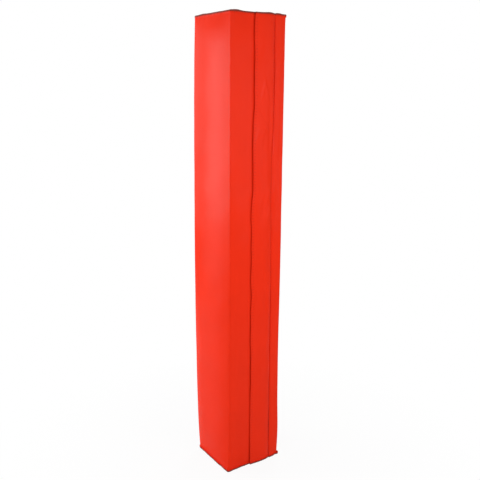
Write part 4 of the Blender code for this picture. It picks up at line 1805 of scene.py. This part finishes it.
@dataclass
class ClosureFlap:
    """The flap sewn to the right panel: vinyl, backing, hems, tapes and stitches."""

    form: FlapForm
    stitching: Stitching
    skin: float = 1.2 * MM
    fit: float = 0.4 * MM
    sewn_in: float = -0.4 * MM
    row_step: float = 5 * MM
    column_step: float = 2.5 * MM
    turned: float = 10 * MM
    edge_radius: float = 1.35 * MM
    lift: float = 1 * MM
    tape_width: float = 50 * MM
    tape_inset: float = 15 * MM
    tape_end: float = 25 * MM
    tape_thickness: float = 1.2 * MM
    tape_rows: int = 180
    tape_columns: int = 15
    bend_root: float = 197.5 * MM
    bend_width: float = 15 * MM
    root_zone: float = 0.09
    root_places: int = 10
    edge_places: int = 40
    hem_zone: float = 12 * MM
    hem_inset: float = 0.4 * MM
    head_rise: float = 0.22
    head_rise_from: float = 30 * MM
    head_rise_width: float = 22 * MM
    edge_seams: tuple[float, float] = (4 * MM, 9 * MM)
    root_seam: float = 6 * MM
    thread_depth: float = 0.1 * MM

    def outer(self, s: np.ndarray, z: np.ndarray, layer: float = 0.0) -> np.ndarray:
        """Points of one layer of the flap.

        Args:
            s: Places along the front face, as heights by places.
            z: Heights, as heights by one.
            layer: Depth below the flap's outer side.

        Returns:
            The points.
        """
        share = self.form.share(s, z)
        from_edge = np.clip(share / self.form.edge_fade, 0, 1)
        fading = from_edge * np.clip((1 - share) / self.form.root_fade, 0, 1)
        raised = creased(FLAP_RIDGES, s, z) * fading + self.form.relief(s, z)
        depth = self.form.depth(s, z) - raised + layer
        return np.dstack([s - SIZES.half_x, depth - SIZES.half_y, np.broadcast_to(z, s.shape)])

    def rows(self) -> np.ndarray:
        """Heights of the flap's rows, as a column."""
        return np.linspace(self.lift, SIZES.cap_top, round(SIZES.cap_top / self.row_step))[:, None]

    def across(self, z: np.ndarray, first: float, last: float) -> np.ndarray:
        """Places along the front face from the root back to the edge, between two shares.

        Args:
            z: Heights, as a column.
            first: Distance of the first place from the root.
            last: Distance of the last place from the free edge.

        Returns:
            The places, as heights by places.
        """
        edge = self.form.edge_at(z)
        near_root = np.linspace(0, self.root_zone, self.root_places)[:-1]
        share = np.concatenate([near_root, np.linspace(self.root_zone, 1, self.edge_places)])[None, :]
        return (self.form.root.at(z) - first) * (1 - share) + (edge + last) * share

    def build(self) -> None:
        """Makes the flap's pieces and bakes their places; they are not bent about the root."""
        z = self.rows()
        vinyl = self.make_vinyl(z)
        backing = self.make_backing(z)
        hems = [self.make_hem(end) for end in End]
        stitches = self.sew(z)
        pieces = (vinyl, backing, *hems, stitches)
        for piece in pieces:
            self.bend(piece)
        self.make_tape("hook_tape", "flap", 2 * self.skin + 2 * self.fit)
        self.make_tape("loop_tape", "front_panel", self.form.stack - self.tape_thickness - self.fit)
        LOG.info("flap built")

    def make_vinyl(self, z: np.ndarray) -> bpy.types.Object:
        """The outer vinyl, with its free edge turned under."""
        s = self.across(z, self.sewn_in, self.edge_radius)
        face = self.outer(s, z)
        edge = self.form.edge_at(z) + self.edge_radius
        start = self.outer(edge, z)
        turn = []
        for angle in np.linspace(0, math.pi, 7)[1:]:
            moved = start[:, 0].copy()
            moved[:, 0] -= self.edge_radius * math.sin(angle)
            moved[:, 1] += self.edge_radius * (1 - math.cos(angle))
            turn.append(moved)
        for share in np.linspace(0, 1, 4)[1:]:
            under = self.outer(edge + self.turned * share, z, 2 * self.edge_radius)
            turn.append(under[:, 0])
        points = np.concatenate([face, np.stack(turn, axis=1)], axis=1)
        lengths = np.linalg.norm(np.diff(points[len(points) // 2], axis=0), axis=1)
        surface = Surface.through(points, np.concatenate([[0], np.cumsum(lengths)]))
        vinyl = shell("flap_vinyl", surface, self.skin, OUTER_VINYL)
        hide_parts("closure_flap")
        return vinyl

    def make_backing(self, z: np.ndarray) -> bpy.types.Object:
        """The cloth side under the flap's vinyl."""
        s = self.across(z, self.fit, self.turned + 2 * self.edge_radius)
        points = self.outer(s, z, self.skin + self.fit)
        surface = Surface.through(points, SIZES.flap_root - s[len(s) // 2])
        backing = shell("flap_backing", surface, self.skin, LINING)
        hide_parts("flap_lining")
        return backing

    def hem_surface(self, end: End) -> Surface:
        """A short stretch of the flap beside one of its ends, for its hem to follow."""
        low = self.lift if end is End.FOOT else SIZES.cap_top - self.hem_zone
        z = np.linspace(low, low + self.hem_zone, 5)[:, None]
        s = self.across(z, self.fit, self.hem_inset)
        return Surface.through(self.outer(s, z), SIZES.flap_root - s[0])

    def hem_places(self, end: End, section: np.ndarray) -> np.ndarray:
        """Places of a hem's section at every column of the flap.

        Args:
            end: Foot or head.
            section: Distance out and height of each point of the section.

        Returns:
            Points, as columns by section points by three.
        """
        part = self.hem_surface(end)
        row = 0 if end is End.FOOT else -1
        rise = np.ones_like(part.along)
        if end is End.HEAD:
            away = (part.along - self.head_rise_from) / self.head_rise_width
            rise += self.head_rise * np.exp(-(away**2))
        points = np.repeat(part.points[row][:, None, :], len(section), axis=1)
        points[:, :, 1] -= section[None, :, 0]
        points[:, :, 2] += section[None, :, 1] * rise[:, None]
        return points

    def make_hem(self, end: End) -> bpy.types.Object:
        """The hem of one end of the flap."""
        form = HemForm.of(end)
        section = np.array(form.section) * MM
        band = rod(f"flap_{end.value}_hem_band", self.hem_places(end, section), HEM_VINYL, form.edge)
        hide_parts(f"flap_{end.value}_hem")
        return band

    def sew(self, z: np.ndarray) -> bpy.types.Object:
        """The stitches of the flap: two rows along its edge, one along its root and its hems."""
        edge = self.form.edge_at(z)
        lines = []
        for inset in self.edge_seams:
            lines.append(self.outer(edge + inset, z, self.thread_depth)[:, 0])
        root = self.form.root.at(z) - self.root_seam
        lines.append(self.outer(root, z, self.thread_depth)[:, 0])
        for end in End:
            lines.append(self.hem_places(end, np.array([HemForm.of(end).seam]) * MM)[:, 0])
        stitches = self.stitching.sew("flap_stitches", lines)
        return stitches

    def bend(self, piece: bpy.types.Object) -> None:
        """Bakes the piece's place into its mesh; nothing bends about the root."""
        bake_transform(piece)

    def make_tape(self, name: str, body: str, layer: float) -> None:
        """One strip of hook or loop tape.

        Args:
            name: Name of the CAD node that it replaces.
            body: Body that it rides on.
            layer: Depth of its outer side below the flap's.
        """
        z = np.linspace(self.tape_end, SIZES.cap_top - self.tape_end, self.tape_rows)[:, None]
        first = self.form.edge_at(z) + self.tape_inset
        s = first + self.tape_width * np.linspace(1, 0, self.tape_columns)[None, :]
        depth = self.form.crowned(s, z) - self.form.relief(s, z) + layer
        points = np.dstack([s - SIZES.half_x, depth - SIZES.half_y, np.broadcast_to(z, s.shape)])
        surface = Surface.through(points, self.tape_width - (s - first)[0])
        strip = shell(f"{name}_strip", surface, self.tape_thickness, TAPE)
        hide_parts(name)
        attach(strip, body)


LAMPS = (
    ("back_left_lamp", (-1.79, 1.60, 1.30), (1.12, 1.36), 39),
    ("far_left_lamp", (-0.94, 2.21, 1.30), (0.70, 1.50), 3.6),
    ("low_lamp", (-1.79, 1.60, 0.35), (1.10, 0.50), 4.2),
    ("left_lamp", (-2.0, -1.0, 1.8), (1.1, 1.1), 17.5),
    ("front_lamp", (0.1, -2.0, 1.4), (0.9, 0.9), 17.8),
    ("right_lamp", (1.35, -1.95, 1.25), (1.1, 1.3), 9),
    ("back_right_lamp", (2.4, 1.9, 2.4), (1.4, 1.4), 40),
)


@dataclass
class Studio:
    """The camera, the floor, the pale surroundings and the lamps."""

    camera_place: tuple[float, float, float] = (-1.5006, -2.1685, 1.5296)
    forward: tuple[float, float, float] = (0.5580, 0.8014, -0.2151)
    level: tuple[float, float, float] = (0.8206, -0.5714, 0.0)
    roll: float = math.radians(0.36)
    lens: float = 49.245

    def build(self) -> None:
        """Sets up everything round the pad."""
        self.set_camera()
        self.lay_floor()
        self.surround()
        for name, place, size, power in LAMPS:
            self.hang_lamp(name, place, size, power)
        bpy.context.scene.view_settings.view_transform = "Standard"
        LOG.info("studio built")

    def set_camera(self) -> None:
        """Puts the camera where the photograph was taken from."""
        forward, level = Vector(self.forward).normalized(), Vector(self.level).normalized()
        up = level.cross(forward).normalized()
        right = level * math.cos(self.roll) + up * math.sin(self.roll)
        top = up * math.cos(self.roll) - level * math.sin(self.roll)
        lens = bpy.data.cameras.new("camera")
        lens.sensor_fit, lens.sensor_width, lens.lens = "HORIZONTAL", 36, self.lens
        lens.clip_start, lens.clip_end = 0.05, 100
        camera = bpy.data.objects.new("camera", lens)
        turn = Matrix((right, top, -forward)).transposed().to_4x4()
        camera.matrix_world = Matrix.Translation(self.camera_place) @ turn
        bpy.context.scene.collection.objects.link(camera)
        bpy.context.scene.camera = camera

    def lay_floor(self) -> None:
        """A wide pale floor that keeps the pad's soft shadow and fades into the surroundings."""
        half, level = 20.0, -0.5 * MM
        mesh = bpy.data.meshes.new("floor")
        sides = ((-1, -1), (1, -1), (1, 1), (-1, 1))
        mesh.from_pydata([(x * half, y * half, level) for x, y in sides], [], [(0, 1, 2, 3)])
        floor = bpy.data.objects.new("floor", mesh)
        bpy.context.scene.collection.objects.link(floor)
        made = bpy.data.materials.new("pale_floor")
        made.use_nodes = True
        nodes = Nodes(made.node_tree)
        nodes.fill(nodes.shader, base_color=(0.72, 0.72, 0.72, 1), roughness=0.6)
        glow = nodes.add("Emission", color=(1, 1, 1, 1), strength=1.0)
        path = nodes.add("LightPath")
        distance = nodes.add("VectorMath")
        distance.operation = "LENGTH"
        nodes.tree.links.new(nodes.place(), distance.inputs[0])
        fading = nodes.add("MapRange", value=distance.outputs["Value"], from_min=0.2, from_max=1.1,
                           to_min=0.93, to_max=1.0)
        share = nodes.product(path.outputs["Is Camera Ray"], fading.outputs["Result"])
        mix = nodes.add("MixShader")
        nodes.tree.links.new(share, mix.inputs[0])
        nodes.tree.links.new(nodes.shader.outputs[0], mix.inputs[1])
        nodes.tree.links.new(glow.outputs[0], mix.inputs[2])
        nodes.tree.links.new(mix.outputs[0], made.node_tree.nodes["Material Output"].inputs["Surface"])
        mesh.materials.append(made)

    def surround(self) -> None:
        """White surroundings to the camera and in reflections, and a weaker even light otherwise."""
        world = bpy.data.worlds.new("studio")
        world.use_nodes = True
        bpy.context.scene.world = world
        tree = world.node_tree
        light = tree.nodes["Background"]
        path = tree.nodes.new("ShaderNodeLightPath")
        either = tree.nodes.new("ShaderNodeMath")
        either.operation = "ADD"
        tree.links.new(path.outputs["Is Camera Ray"], either.inputs[0])
        tree.links.new(path.outputs["Is Glossy Ray"], either.inputs[1])
        both = tree.nodes.new("ShaderNodeMath")
        both.operation = "ADD"
        both.use_clamp = True
        tree.links.new(either.outputs[0], both.inputs[0])
        tree.links.new(path.outputs["Is Transmission Ray"], both.inputs[1])
        strength = tree.nodes.new("ShaderNodeMapRange")
        strength.inputs["To Min"].default_value = 0.24
        strength.inputs["To Max"].default_value = 1.0
        tree.links.new(both.outputs[0], strength.inputs["Value"])
        tree.links.new(strength.outputs["Result"], light.inputs["Strength"])
        light.inputs["Color"].default_value = (1, 1, 1, 1)

    def hang_lamp(self, name: str, place: tuple[float, float, float], size: tuple[float, float],
                  power: float) -> None:
        """Hangs a soft lamp that faces the middle of the pad.

        Args:
            name: Name of the lamp.
            place: Where it hangs.
            size: Its width and height.
            power: Its power in watts.
        """
        lamp = bpy.data.lights.new(name, "AREA")
        lamp.shape = "RECTANGLE"
        lamp.size, lamp.size_y = size
        lamp.energy = power
        hung = bpy.data.objects.new(name, lamp)
        hung.visible_camera = False
        hung.location = place
        aim = Vector((0, 0, min(place[2], 1.0))) - Vector(place)
        hung.rotation_euler = aim.to_track_quat("-Z", "Y").to_euler()
        bpy.context.scene.collection.objects.link(hung)


def main() -> None:
    """Builds the pad and its studio, piece by piece."""
    logging.basicConfig(level=logging.INFO, format="%(message)s")
    Studio().build()
    vinyl = OuterVinyl()
    vinyl.build()
    vinyl.settle()
    stitching = Stitching()
    hems = HemMaker(vinyl)
    spans = (
        ("front", Turn.FRONT_LAP, Turn.FRONT_LEFT, (-1, 0)),
        ("left", Turn.FRONT_LEFT, Turn.BACK_LEFT, (0, 1)),
        ("back", Turn.BACK_LEFT, Turn.BACK_RIGHT, (1, 0)),
        ("right", Turn.BACK_RIGHT, Turn.STRIP_LAP, (0, -1)),
    )
    for name, first, last, along in spans:
        PadPanel(name, first, last, along, vinyl, hems, stitching).build()
    for fold in FOLDS:
        FoldWeb(fold, vinyl, hems, stitching).build()
    ClosureFlap(vinyl.flap, stitching).build()


if __name__ == "__main__":
    main()
